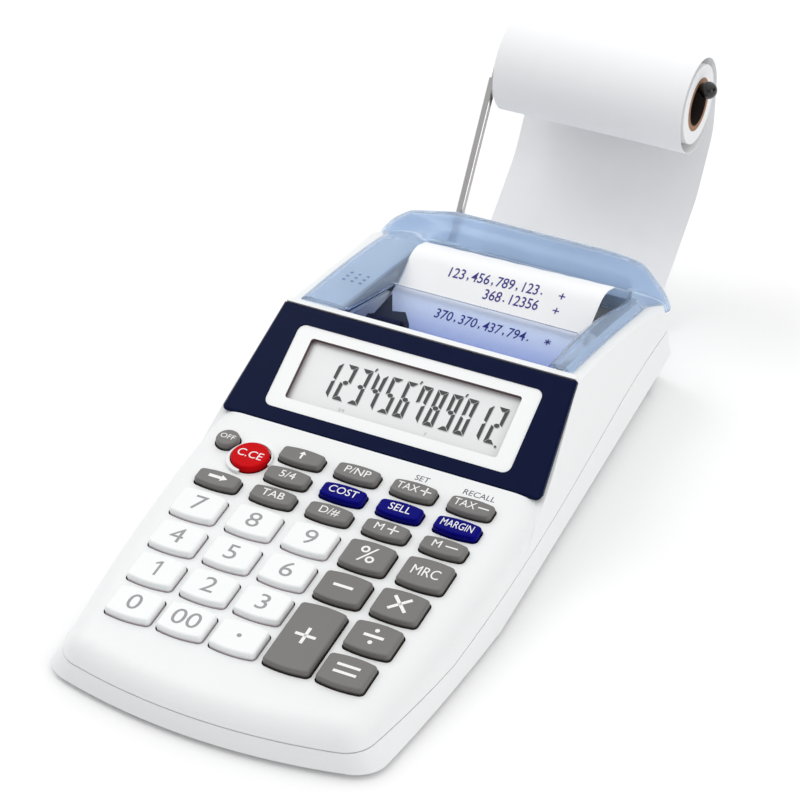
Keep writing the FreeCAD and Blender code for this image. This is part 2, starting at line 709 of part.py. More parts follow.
def upper_case(outer, inner):
    case = outer.cut(inner).common(seam_block(SEAM_GAP / 2, True))
    for name, (u, v, width, depth) in key_places().items():
        hole = key_block(width, depth, KEY_CLEARANCE, -WALL - 1.5, 6.0)
        case = case.cut(on_panel(hole, u, v))
    window = box(-WINDOW_HALF - LCD_MARGIN, WINDOW_HALF + LCD_MARGIN, WINDOW_FROM - LCD_MARGIN,
                 WINDOW_TO + LCD_MARGIN, -BEZEL_THICKNESS - WALL - 1.0, 0)
    case = case.cut(on_display(window)).cut(on_display(bezel_plate(BEZEL_GAP, 5.0)))
    edge = SIDE_WALL + OPENING_MARGIN
    front = COVER_FRONT - 2 * COVER_GAP
    case = case.cut(box(WELL_LEFT - edge, WELL_RIGHT + edge, front, HOOD_FRONT - 0.5, 22, 60))
    for x, y in SCREW_PLACES:
        boss = Part.makeCylinder(BOSS_RADIUS, 40, V(x, y, BOSS_TOP + SEAM_GAP)).common(inner)
        bore = Part.makeCylinder(SCREW_RADIUS, SCREW_TOP - BOSS_TOP, V(x, y, BOSS_TOP))
        case = case.fuse(boss).cut(bore)
    return case.removeSplitter()


def battery_bay():
    first = CELL_FIRST_Y - CELL_RADIUS - DOOR_MARGIN
    last = CELL_FIRST_Y + 3 * CELL_PITCH + CELL_RADIUS + DOOR_MARGIN / 2
    return CELL_LEFT - DOOR_MARGIN, CELL_LEFT + CELL_LENGTH + DOOR_MARGIN, first, last


def lower_case(outer, inner):
    case = outer.cut(inner).common(seam_block(-SEAM_GAP / 2, False))
    x0, x1, y0, y1 = battery_bay()
    gap = DOOR_CLEARANCE
    recess = box(x0 - gap, x1 + gap, y0 - DOOR_TRAVEL - gap, y1 + gap, 0, FOOT_HEIGHT + DOOR_THICKNESS + gap)
    well = box(x0 + 2 * DOOR_MARGIN, x1 - 2 * DOOR_MARGIN, y0 + DOOR_MARGIN, y1 - DOOR_MARGIN, 0, FLOOR + 1)
    case = case.cut(recess).cut(well)
    case = case.fuse(box(x1, x1 + 1.2, y0 + DOOR_MARGIN, y1, FLOOR - 0.2, FLOOR + 2 * CELL_RADIUS))
    half = PAPER_WIDTH / 2 + SLOT_MARGIN
    slot = box(PAPER_X - half, PAPER_X + half, 60, 75, INLET_Z - SLOT_HALF_HEIGHT, INLET_Z + SLOT_HALF_HEIGHT)
    case = case.cut(slot)
    for x, y in SCREW_PLACES:
        post = Part.makeCylinder(BOSS_RADIUS, BOSS_TOP - FOOT_HEIGHT, V(x, y, FOOT_HEIGHT))
        case = case.fuse(post.common(outer))
        case = case.cut(Part.makeCylinder(SCREW_RADIUS + RUNNING_FIT, 40, V(x, y, 0)))
        case = case.cut(Part.makeCylinder(SCREW_HEAD + 0.2, FLOOR, V(x, y, 0)))
    for side in (1, -1):
        near = ARM_X + side * (EYE_LENGTH / 2 + LUG_GAP)
        x0, x1 = sorted((near, near + side * LUG_THICKNESS))
        arm = box(x0, x1, LUG_FROM, PIVOT_Y, PIVOT_Z - LUG_RADIUS, PIVOT_Z + LUG_RADIUS)
        lug = arm.fuse(rod_x(LUG_RADIUS, x0, x1, PIVOT_Y, PIVOT_Z))
        case = case.fuse(lug.cut(inner))
    bore = rod_x(PIN_RADIUS + PIN_CLEARANCE, ARM_X - 10, ARM_X + 10, PIVOT_Y, PIVOT_Z)
    return case.cut(bore).removeSplitter()


# Display pieces

def bezel_plate(grow, top):
    """Bezel drawn flat; its thinner lip runs on down the slope below the panel's level."""
    half_low = HIGH_HALF_WIDTHS[3] - BEZEL_INSET
    high_z = DISPLAY_Z + DISPLAY_LENGTH * math.sin(math.radians(DISPLAY_TILT))
    fall = (HIGH_HALF_WIDTHS[3] - TOP_HALF_WIDTHS[3]) / (TOP_LEVEL - HIGH_LEVEL)
    half_high = half_low - fall * (high_z - HIGH_LEVEL)
    first = BEZEL_INSET - grow
    last = DISPLAY_LENGTH - BEZEL_INSET + grow
    low = half_low + grow
    high = half_high + grow
    plate = plan_prism([(-low, first), (low, first), (high, last), (-high, last)], -BEZEL_THICKNESS, top)
    lip_y = first - BEZEL_LIP
    lip_half = low + (low - high) / (last - first) * BEZEL_LIP
    lip = plan_prism([(-lip_half, lip_y), (lip_half, lip_y), (high, last), (-high, last)], -LIP_THICKNESS, top)
    corners = [e for e in lip.Edges if all(abs(v.Y - lip_y) < 1e-6 for v in e.Vertexes)]
    corners = [e for e in corners if abs(e.Vertexes[0].X - e.Vertexes[-1].X) < 1e-6]
    return plate.fuse(lip.makeFillet(BEZEL_CORNER + grow, corners)).removeSplitter()


def display_ring(grow, z0, z1):
    """Block with the outline of the window frame."""
    ring = rounded_block(2 * (FRAME_HALF + grow), FRAME_TO - FRAME_FROM + 2 * grow, FRAME_CORNER + grow, z0, z1)
    ring.translate(V(0, (FRAME_FROM + FRAME_TO) / 2, 0))
    return ring


def display_bezel():
    plate = bezel_plate(0.0, 0.0)
    rim = [e for e in plate.Edges if all(abs(v.Z) < 1e-6 for v in e.Vertexes)]
    plate = plate.makeChamfer(BEZEL_BEVEL, rim)
    return on_display(plate.cut(display_ring(FRAME_CLEARANCE, -5, 5)))


def display_frame():
    floor = -BEZEL_THICKNESS
    window = rounded_block(2 * WINDOW_HALF, WINDOW_TO - WINDOW_FROM, WINDOW_CORNER, -5, 5)
    window.translate(V(0, (WINDOW_FROM + WINDOW_TO) / 2, 0))
    return on_display(display_ring(0.0, floor, floor + FRAME_DEPTH).cut(window))


def lcd_panel():
    grow = LCD_MARGIN - LCD_CLEARANCE
    back = -BEZEL_THICKNESS - WALL
    glass = box(-WINDOW_HALF - grow, WINDOW_HALF + grow, WINDOW_FROM - grow, WINDOW_TO + grow,
                back, -BEZEL_THICKNESS)
    return on_display(glass)


# Arm and roll

def arm_tube():
    eye = rod_x(EYE_RADIUS, ARM_X - EYE_LENGTH / 2, ARM_X + EYE_LENGTH / 2, PIVOT_Y, PIVOT_Z)
    reach = EYE_LENGTH / 2 + LUG_GAP + LUG_THICKNESS
    pin = rod_x(PIN_RADIUS, ARM_X - reach, ARM_X + reach, PIVOT_Y, PIVOT_Z)
    tube = Part.makeCylinder(TUBE_RADIUS, TUBE_LENGTH, PIVOT, ARM)
    bore = Part.makeCylinder(ROD_RADIUS + ROD_CLEARANCE, TUBE_LENGTH, PIVOT + ARM * TUBE_BORE_FROM, ARM)
    return eye.fuse(pin).fuse(tube).cut(bore).removeSplitter()


def arm_rod():
    corner = PIVOT + ARM * ROD_REACH
    start = PIVOT + ARM * ROD_FROM
    first = corner - ARM * ROD_BEND
    last = corner + ALONG_X * ROD_BEND
    centre = corner - ARM * ROD_BEND + ALONG_X * ROD_BEND
    middle = centre + (ARM - ALONG_X).normalize() * ROD_BEND
    end = V(KNOB_X, corner.y, corner.z)
    path = Part.Wire([
        Part.makeLine(start, first), Part.Arc(first, middle, last).toShape(), Part.makeLine(last, end)])
    ring = Part.Wire(Part.makeCircle(ROD_RADIUS, start, ARM))
    return path.makePipeShell([ring], True, True)


def arm_knob():
    ball = Part.makeSphere(KNOB_RADIUS, V(KNOB_X, ROLL_Y, ROD_Z))
    return ball.cut(rod_x(ROD_RADIUS, KNOB_X - 10, KNOB_X, ROLL_Y, ROD_Z))


def ring_x(outer, hole, x0, x1, y, z):
    return rod_x(outer, x0, x1, y, z).cut(rod_x(hole, x0 - 1, x1 + 1, y, z))


# Underside pieces

def battery_door():
    x0, x1, y0, y1 = battery_bay()
    return box(x0, x1, y0, y1, FOOT_HEIGHT, FOOT_HEIGHT + DOOR_THICKNESS)


def batteries():
    cells = []
    for i in range(4):
        y = CELL_FIRST_Y + i * CELL_PITCH
        z = FLOOR + CELL_RADIUS
        body = rod_x(CELL_RADIUS, CELL_LEFT, CELL_LEFT + CELL_LENGTH - 1.0, y, z)
        cells.append(body.fuse(rod_x(1.9, CELL_LEFT, CELL_LEFT + CELL_LENGTH, y, z)))
    return Part.makeCompound(cells)


def rubber_feet():
    feet = [Part.makeCylinder(FOOT_RADIUS, FOOT_HEIGHT, V(x, y, 0)) for x, y in FOOT_PLACES]
    return Part.makeCompound(feet)


def case_screws():
    screws = []
    for x, y in SCREW_PLACES:
        head = Part.makeCylinder(SCREW_HEAD, 1.4, V(x, y, FLOOR - 1.4))
        screws.append(head.fuse(Part.makeCylinder(SCREW_RADIUS, SCREW_TOP - FLOOR, V(x, y, FLOOR))))
    return Part.makeCompound(screws)


def panel_plate(v0, v1, top, thickness):
    """Board or mat under the keys, notched where a screw post passes."""
    plate = on_panel(box(-BOARD_HALF, BOARD_HALF, v0, v1, -top - thickness, -top))
    for x, y in SCREW_PLACES:
        plate = plate.cut(Part.makeCylinder(BOSS_RADIUS + POST_CLEARANCE, 60, V(x, y, 0)))
    return plate


def build():
    outer = case_form(0.0)
    inner = case_form(WALL)
    roll_from = ROLL_X - PAPER_WIDTH / 2
    roll_to = ROLL_X + PAPER_WIDTH / 2
    pieces = {
        "lower_case": lower_case(outer, inner),
        "upper_case": upper_case(outer, inner),
        "display_bezel": display_bezel(),
        "display_frame": display_frame(),
        "lcd_panel": lcd_panel(),
        "printer_cover": printer_cover(),
        "printer_frame": printer_frame(),
        "platen_roller": platen_roller(),
        "feed_gear": feed_gear(),
        "drive_motor": drive_motor(),
        "motor_pinion": motor_pinion(),
        "print_carriage": print_carriage(),
        "carriage_shaft": carriage_shaft(),
        "ink_roller": ink_roller(),
        "paper_roll": ring_x(ROLL_RADIUS, CORE_RADIUS, roll_from, roll_to, ROLL_Y, ROLL_Z),
        "roll_core": ring_x(CORE_RADIUS, CORE_HOLE, roll_from, roll_to, ROLL_Y, ROLL_Z),
        "paper_strip": paper_strip(),
        "arm_tube": arm_tube(),
        "arm_rod": arm_rod(),
        "arm_knob": arm_knob(),
        "battery_door": battery_door(),
        "batteries": batteries(),
        "main_board": panel_plate(BOARD_FROM, BOARD_TO, MAT_TOP + MAT_THICKNESS, BOARD_THICKNESS),
        "key_mat": panel_plate(BOARD_FROM, BOARD_TO, MAT_TOP, MAT_THICKNESS),
        "rubber_feet": rubber_feet(),
        "case_screws": case_screws(),
    }
    for name, (u, v, width, depth) in key_places().items():
        pieces[name] = on_panel(key_solid(width, depth), u, v)
    return pieces


os.makedirs("parts", exist_ok=True)
for node, shape in build().items():
    shape.exportStep("parts/" + node + ".step")
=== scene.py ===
import bisect
import json
import math

import bpy
from mathutils import Matrix, Vector


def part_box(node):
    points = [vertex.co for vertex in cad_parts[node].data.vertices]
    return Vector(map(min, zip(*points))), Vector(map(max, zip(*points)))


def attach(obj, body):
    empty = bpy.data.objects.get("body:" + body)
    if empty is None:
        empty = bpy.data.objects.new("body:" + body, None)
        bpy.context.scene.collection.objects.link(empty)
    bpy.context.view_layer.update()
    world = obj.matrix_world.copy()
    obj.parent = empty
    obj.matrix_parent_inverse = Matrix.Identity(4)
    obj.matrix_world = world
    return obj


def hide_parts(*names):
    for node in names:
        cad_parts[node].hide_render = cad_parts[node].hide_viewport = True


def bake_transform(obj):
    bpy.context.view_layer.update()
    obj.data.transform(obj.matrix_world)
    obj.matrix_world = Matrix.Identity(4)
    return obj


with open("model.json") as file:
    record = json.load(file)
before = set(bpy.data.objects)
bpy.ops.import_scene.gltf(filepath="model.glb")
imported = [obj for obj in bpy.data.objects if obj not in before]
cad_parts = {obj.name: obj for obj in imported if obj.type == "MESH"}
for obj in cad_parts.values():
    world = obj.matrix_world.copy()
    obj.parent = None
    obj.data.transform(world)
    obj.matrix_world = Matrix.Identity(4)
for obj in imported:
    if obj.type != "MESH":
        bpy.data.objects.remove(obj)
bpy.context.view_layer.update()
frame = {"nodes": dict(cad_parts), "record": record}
nodes = frame["nodes"]
scene = bpy.context.scene
MM = 0.001

# Sizes and places are in millimetres, with Y to the back and Z up

# Key panel, and the painted shade in the gaps round its keys
PANEL_TILT = math.radians(6.5)
PANEL_ORIGIN = Vector((0, -102.0, 13.2))
KEY_RISE = 1.9
KEYPAD_HALF = 41.0
KEYPAD_Y = (-110.0, -33.0)
GAP_SHADE_DEPTH = 4.0

# Printing; a capital's height is a share of the face's size
PRINT_LIFT = 0.01
PRINT_THICK = 0.03
CAPITAL_SHARE = 0.69

# Collar of the clear key, open on its lower right and swollen on its lower left
COLLAR_INNER = 5.5
COLLAR_OUTER = 6.0
COLLAR_HEIGHT = 0.95
COLLAR_SINK = 0.05
COLLAR_SWELL = 0.8
COLLAR_HEAVY = math.radians(230)
COLLAR_FROM = math.radians(-10)
COLLAR_TO = math.radians(265)

# Display
DISPLAY_TILT = math.radians(29.25)
DISPLAY_ORIGIN = Vector((0, -25.0, 22.3))
LCD_DEPTH = 1.8
WINDOW_HALF = 30.85
WINDOW_TOP = 24.7
FIGURE_LEFT = -23.3
FIGURE_LOW = 10.1
FIGURE_PITCH = 4.4
FIGURE_WIDTH = 3.1
FIGURE_HEIGHT = 10.8
FIGURE_STROKE = 1.15
FIGURE_SLANT = 0.035
FIGURE_POINT = (28.75, 9.75)
POINT_SIZE = 0.6
SEGMENT_GAP = 0.09
SEGMENT_NIP = 0.12
SHADOW_SHIFT = (0.22, -0.3)
SHADOW_LIFT = 0.004
FIGURE_THICK = 0.02
SHADOW_THICK = 0.004

# Paper, along its route from the torn end to the roll; pairs are (Y, Z)
PAPER_HALF = 28.75
PAPER_THICK = 0.12
PAPER_X = 2.5
TORN = 3.6
TORN_RAGGED = 0.35
TAPE_END = (60.5, 30.4)
TAPE_TOP = (49.5, 34.4)
TEAR_BEND = (38.0, 28.65)
PLATEN = (27.0, 19.5)
PATH_RADIUS = 4.65
PAPER_LOW = PLATEN[1] - PATH_RADIUS
PAPER_FRONT = PLATEN[0] - PATH_RADIUS
PAST_PLATEN = 80.0
SLOT = (72.5, 6.1)
WEB_LOW = (88.5, 5.0)
WEB_BEND = (114.2, 30.5)
WEB_UPRIGHT = 47.5
WEB_BACK = 124.875
WEB_FROM = 66.0
WEB_SPLIT = 100.0
WEB_MARGIN = 0.3
ROLL_X = 3.8
ROLL_Y = 110.93
ROLL_Z = 63.3
CORE_HOLE = 6.0

# Loose outer turn of the roll, as (degrees round the roll, radius)
LOOSE_TURN = (
    (0, 13.945), (60, 13.5), (120, 13.3), (180, 13.6), (240, 14.2), (285, 13.8), (330, 11.8),
)

# The tape's free end twists up on its right, and the web drifts across to its roll
FREE_TO = 28.0
FREE_LENGTH = 22.0
TWIST = 0.65
DRIFT_LENGTH = 60.0

# Ball knob, and its stem as (X from the ball, radius)
KNOB = (35.2, 110.93, 68.5)
STEM = ((-4.6, 0.72), (-4.6, 1.1), (-4.3, 1.25), (-2.0, 1.25))

# Printer cover. HOOD runs across the back ridge as (Y, Z), from the well outwards; EAR gives the
# outer points of that section on the way round the corner.
DECK = ((6.1, 37.0), (33.0, 33.2), (70.0, 25.4))
COVER_WALL = 1.2
COVER_FRONT = 6.7
PANE_WALL = 0.8
PANE_TOP = 38.2
PANE_END = 29.6
PANE_TUCK = 0.3
TEAR_Y = 36.5
TEAR_RIGHT = 30.6
TEAR_LIFT = 0.1
TEAR_BAR_Y = -0.35
TEAR_BAR_WIDTH = 0.6
TEAR_BAR_THICK = 0.05
TOOTH = ((-0.3, -0.55), (0.3, -0.55), (0.22, 0.3), (-0.22, 0.3))
TOOTH_THICK = 0.25
TOOTH_GAPS = 58
WELL_LEFT = -27.0
WELL_RIGHT = 34.4
WELL_FLOOR = 25.0
WELL_STEP = 8.0
WELL_FLARE = 1.8
FLARE_LENGTH = 18.0
RIM_HALF = 38.4
RIM_FLARE = 0.8
RIM_LIFT = 1.55
CORNER_Y = 55.0
FILLET_LEFT = 7.0
FILLET_RIGHT = 3.0
SHOULDER_X = -32.0
SHOULDER_HALF = 11.0
SHOULDER_DROP = 2.4
LEDGE_SHARE = 0.62
LEDGE_DROP = 0.5
HOOD = (
    (58.6, 25.0), (60.9, 33.2), (61.4, 34.0), (62.2, 34.4),
    (64.4, 35.1), (65.7, 36.9), (66.6, 36.9), (67.0, 26.2),
)
EAR = (
    ((38.6, 58.8, 29.0), (42.5, 63.4, 26.6), (40.0, 65.2, 30.4), (34.5, 65.7, 36.2)),
    ((39.2, 59.2, 28.6), (43.1, 63.9, 25.6), (41.4, 66.2, 29.0), (35.5, 66.6, 35.3)),
    ((39.3, 59.4, 27.6), (43.3, 64.2, 24.4), (42.4, 66.6, 25.2), (36.0, 67.0, 26.2)),
)
GRIP_FIRST = (-34.4, 27.0)
GRIP_PITCH = (2.5, 2.45)
GRIP_RADIUS = 0.5
GRIP_LIFT = 0.1
GRIP_THICK = 0.15

# Camera, in metres
CAMERA_PLACE = Vector((0.2844, -0.5882, 0.4807))
CAMERA_RIGHT = Vector((0.8965, 0.4431, 0.0))
CAMERA_FORWARD = Vector((-0.3625, 0.7334, -0.5751))

# Floor
FLOOR_HALF = 4000

# Noise scales of the finishes
CLOUD = 60.0
HANDLED = 240.0
GRAIN = 2600.0


class Shade:
    """One shader socket. Arithmetic on it adds the nodes that do the sum."""

    def __init__(self, tree, socket=None):
        self.tree = tree
        self.socket = socket

    def feed(self, socket, value):
        if isinstance(value, Shade):
            self.tree.links.new(value.socket, socket)
        else:
            socket.default_value = value

    def make(self, kind, settings=None, values=None, out=0):
        node = self.tree.nodes.new(kind)
        for name, value in (settings or {}).items():
            setattr(node, name, value)
        for name, value in (values or {}).items():
            self.feed(node.inputs[name], value)
        return Shade(self.tree, node.outputs[out])

    def sum(self, operation, first, second):
        return self.make("ShaderNodeMath", {"operation": operation}, {0: first, 1: second})

    def __add__(self, other):
        return self.sum("ADD", self, other)

    def __radd__(self, other):
        return self.sum("ADD", other, self)

    def __sub__(self, other):
        return self.sum("SUBTRACT", self, other)

    def __rsub__(self, other):
        return self.sum("SUBTRACT", other, self)

    def __mul__(self, other):
        return self.sum("MULTIPLY", self, other)

    def __rmul__(self, other):
        return self.sum("MULTIPLY", other, self)

    def __truediv__(self, other):
        return self.sum("DIVIDE", self, other)

    def __rtruediv__(self, other):
        return self.sum("DIVIDE", other, self)

    def __pow__(self, other):
        return self.sum("POWER", self, other)

    def __abs__(self):
        return self.sum("ABSOLUTE", self, 0.0)

    def sine(self):
        return self.make("ShaderNodeMath", {"operation": "SINE"}, {0: self})

    def above(self, edge, width):
        """0 below the edge, 1 above it, with a soft step of this width."""
        return self.make("ShaderNodeMapRange", {"interpolation_type": "SMOOTHSTEP"}, {
            "Value": self, "From Min": edge - width / 2, "From Max": edge + width / 2})

    def place(self):
        return self.make("ShaderNodeTexCoord", out="Object")

    def direction(self):
        return self.make("ShaderNodeTexCoord", out="Generated")

    def normal(self):
        return self.make("ShaderNodeNewGeometry", out="Normal")

    def axes(self):
        split = self.make("ShaderNodeSeparateXYZ", values={0: self}).socket.node
        return [Shade(self.tree, split.outputs[i]) for i in range(3)]

    def noise(self, scale, detail, where=None):
        return self.make("ShaderNodeTexNoise", values={
            "Vector": where or self.place(), "Scale": scale, "Detail": detail})

    def mix(self, low, high):
        """Colour between low and high, by this socket's value."""
        return self.make("ShaderNodeMix", {"data_type": "RGBA"}, {0: self, 6: low, 7: high}, 2)

    def bump(self, depth, strength):
        return self.make("ShaderNodeBump", values={
            "Strength": strength, "Distance": depth * MM, "Height": self})


def material(name):
    mat = bpy.data.materials.new(name)
    mat.use_nodes = True
    tree = mat.node_tree
    surface = next(n for n in tree.nodes if n.type == "BSDF_PRINCIPLED")
    return mat, Shade(tree), surface.inputs


def rgb(red, green, blue):
    return (red, green, blue, 1.0)


def shade(colour, factor):
    return tuple(min(1.0, c * factor) for c in colour[:3]) + (1.0,)


def facing(s, tilt):
    """1 on a face that looks out of a plane tilted up to the back, 0 on a wall square to it."""
    ny, nz = s.normal().axes()[1:]
    return nz * math.cos(tilt) - ny * math.sin(tilt)


def roll_radius(s):
    """Distance from the axis of the paper roll, in metres."""
    y, z = s.place().axes()[1:]
    dy = y - ROLL_Y * MM
    dz = z - ROLL_Z * MM
    return (dy * dy + dz * dz) ** 0.5


def keypad_painted_shade(s, level, soft, walls_only):
    """Painted shade: 1 in the keypad's gaps, where a spot is lower than this many millimetres above
    the panel.
    """
    x, y, z = s.place().axes()
    up = (z / MM - PANEL_ORIGIN.z) * math.cos(PANEL_TILT)
    rise = up - (y / MM - PANEL_ORIGIN.y) * math.sin(PANEL_TILT)
    front, rear = KEYPAD_Y
    rows = y.above(front * MM, MM) * (1 - y.above(rear * MM, MM))
    keypad = rows * (1 - abs(x).above(KEYPAD_HALF * MM, MM))
    # the painted shade reaches this far down into the gaps
    gap = (1 - rise.above(level, soft)) * rise.above(-GAP_SHADE_DEPTH, 1.0) * keypad
    if walls_only:
        gap = gap * (1 - facing(s, PANEL_TILT).above(0.4, 0.3))
    return gap


def moulded(name, colour, rough, grain=0.02, coat=0.0, tone=0.04, shine=0.5, gap=None):
    """Moulded plastic: slow tone change, uneven gloss and a fine spark-eroded grain.

    The gap is painted shade, a deeper colour low down between the keys, as (colour, level, softness,
    walls only).
    """
    mat, s, surface = material(name)
    tint = s.noise(CLOUD, 3.0).mix(shade(colour, 1 - tone), shade(colour, 1 + tone))
    if gap:
        gap_shade, *where = gap
        # painted shade: the colour deepens low down between the keys
        tint = keypad_painted_shade(s, *where).mix(tint, gap_shade)
    s.feed(surface["Base Color"], tint)
    s.feed(surface["Roughness"], rough + 0.16 * (s.noise(HANDLED, 4.0) - 0.5))
    if grain:
        s.feed(surface["Normal"], s.noise(GRAIN, 2.0).bump(grain, 0.5))
    surface["Specular IOR Level"].default_value = shine
    surface["Coat Weight"].default_value = coat
    surface["Coat Roughness"].default_value = 0.08
    return mat


def display_glass(name):
    """Grey display glass, with painted shade along its upper and left edges, as if from the frame
    above it.
    """
    mat, s, surface = material(name)
    x, y, z = s.place().axes()
    back = (y / MM - DISPLAY_ORIGIN.y) * math.cos(DISPLAY_TILT)
    up = back + (z / MM - DISPLAY_ORIGIN.z) * math.sin(DISPLAY_TILT)
    # painted shade along the left and upper edges of the window
    side = 1 - (x / MM).above(-WINDOW_HALF + 0.9, 2.4)
    top = up.above(WINDOW_TOP - 0.8, 2.2)
    grey = s.noise(CLOUD, 3.0).mix(rgb(0.82, 0.83, 0.83), rgb(0.85, 0.86, 0.86))
    s.feed(surface["Base Color"], ((side + top) * 0.7).mix(grey, rgb(0.30, 0.27, 0.28)))
    s.feed(surface["Roughness"], 0.18 + 0.05 * (s.noise(200.0, 3.0) - 0.5))
    surface["Coat Weight"].default_value = 0.3
    return mat


def frame_plastic(name):
    """White plastic of the window frame; the walls of its opening are dull and painted dark as shade.
    """
    mat, s, surface = material(name)
    # painted shade on the walls of the opening
    wall = 1 - facing(s, DISPLAY_TILT).above(0.5, 0.4)
    white = s.noise(CLOUD, 3.0).mix(rgb(0.92, 0.94, 0.935), rgb(0.94, 0.96, 0.955))
    s.feed(surface["Base Color"], wall.mix(white, rgb(0.10, 0.06, 0.06)))
    s.feed(surface["Roughness"], 0.38 + 0.1 * (s.noise(HANDLED, 4.0) - 0.5))
    s.feed(surface["Normal"], s.noise(GRAIN, 2.0).bump(0.02, 0.5))
    return mat


def printed(name, colour, rough=0.5):
    """Pad-printed ink with slightly uneven cover, also used for painted shadows on the display and
    tear edge.
    """
    mat, s, surface = material(name)
    cover = s.noise(1400.0, 3.0)
    s.feed(surface["Base Color"], cover.mix(shade(colour, 0.92), shade(colour, 1.06)))
    s.feed(surface["Roughness"], rough + 0.12 * (cover - 0.5))
    return mat


def metal(name, colour, rough, grain_axis=0):
    """Drawn or plated metal with fine lines along one axis."""
    mat, s, surface = material(name)
    stretch = [700.0, 700.0, 700.0]
    stretch[grain_axis] = 25.0
    where = s.make("ShaderNodeMapping", values={"Vector": s.place(), "Scale": stretch})
    drawn = s.noise(3.0, 3.0, where)
    s.feed(surface["Base Color"], drawn.mix(shade(colour, 0.93), shade(colour, 1.05)))
    s.feed(surface["Roughness"], rough + 0.1 * (drawn - 0.5))
    surface["Metallic"].default_value = 1.0
    return mat


def paper(name, ends=False):
    """Uncoated paper with fibre mottling; on the roll's ends the turns show as fine rings."""
    mat, s, surface = material(name)
    fibre = s.noise(1800.0, 4.0)
    white = s.noise(140.0, 3.0).mix(rgb(0.90, 0.905, 0.915), rgb(0.93, 0.935, 0.94))
    if ends:
        drift = s.noise(300.0, 2.0) * (0.4 * MM)
        wave = ((roll_radius(s) + drift) * 11000.0).sine()
        end_face = abs(s.normal().axes()[0]).above(0.8, 0.2)
        ring = wave.above(0.6, 0.6) * end_face * 0.8
        white = ring.mix(white, rgb(0.52, 0.53, 0.56))
    s.feed(surface["Base Color"], white)
    s.feed(surface["Roughness"], 0.82 + 0.1 * (fibre - 0.5))
    s.feed(surface["Normal"], fibre.bump(0.01, 0.4))
    return mat


def cardboard(name):
    """Wound brown board, with painted shade, nearly black, inside its bore."""
    mat, s, surface = material(name)
    where = s.make("ShaderNodeMapping", values={"Vector": s.place(), "Scale": (60.0, 500.0, 500.0)})
    fibre = s.noise(4.0, 5.0, where)
    fleck = s.noise(900.0, 2.0).above(0.66, 0.1)
    # painted shade: the bore is made nearly black
    inside = 1 - roll_radius(s).above((CORE_HOLE + 0.25) * MM, 0.2 * MM)
    brown = fibre.mix(rgb(0.22, 0.10, 0.045), rgb(0.42, 0.22, 0.11))
    brown = (fleck * 0.4).mix(brown, rgb(0.12, 0.06, 0.03))
    s.feed(surface["Base Color"], inside.mix(brown, rgb(0.012, 0.007, 0.005)))
    s.feed(surface["Roughness"], 0.75 + 0.2 * (fibre - 0.5))
    s.feed(surface["Normal"], fibre.bump(0.04, 0.6))
    return mat


def rubber(name, colour):
    """Dull rubber with fine pores and a trace of dust."""
    mat, s, surface = material(name)
    dust = s.noise(220.0, 4.0).above(0.62, 0.3)
    pores = s.noise(3000.0, 2.0)
    s.feed(surface["Base Color"], (dust * 0.3).mix(colour, shade(colour, 2.2)))
    s.feed(surface["Roughness"], 0.7 + 0.2 * (pores - 0.5))
    s.feed(surface["Normal"], pores.bump(0.02, 0.5))
    return mat


def tinted(name, colour, clear, rough, bend, cover):
    """See-through moulded plastic that colours what lies behind it."""
    mat, s, surface = material(name)
    flow = s.noise(45.0, 3.0)
    s.feed(surface["Base Color"], flow.mix(shade(colour, 0.94), shade(colour, 1.06)))
    s.feed(surface["Roughness"], rough + 0.06 * (s.noise(300.0, 3.0) - 0.5))
    surface["Transmission Weight"].default_value = clear
    surface["IOR"].default_value = bend
    surface["Alpha"].default_value = cover
    surface["Coat Weight"].default_value = 0.25
    surface["Coat Roughness"].default_value = 0.15
    return mat


def window(name):
    """Clear blue window, painted deeper blue towards its front as shade from the well below; its front
    edge is deeper still.
    """
    mat, s, surface = material(name)
    y = s.place().axes()[1]
    flow = s.noise(30.0, 3.0) * (3.0 * MM)
    # painted shade: the blue deepens towards the front
    front = 1 - (y + flow).above(21.0 * MM, 28.0 * MM)
    edge = 1 - y.above((COVER_FRONT + 1.1) * MM, 1.2 * MM)
    blue = front.mix(rgb(0.62, 0.72, 0.93), rgb(0.16, 0.25, 0.66))
    s.feed(surface["Base Color"], edge.mix(blue, rgb(0.05, 0.12, 0.55)))
    s.feed(surface["Roughness"], 0.003 * s.noise(300.0, 3.0))
    surface["Transmission Weight"].default_value = 1.0
    surface["IOR"].default_value = 1.001
    surface["Alpha"].default_value = 0.5
    return mat
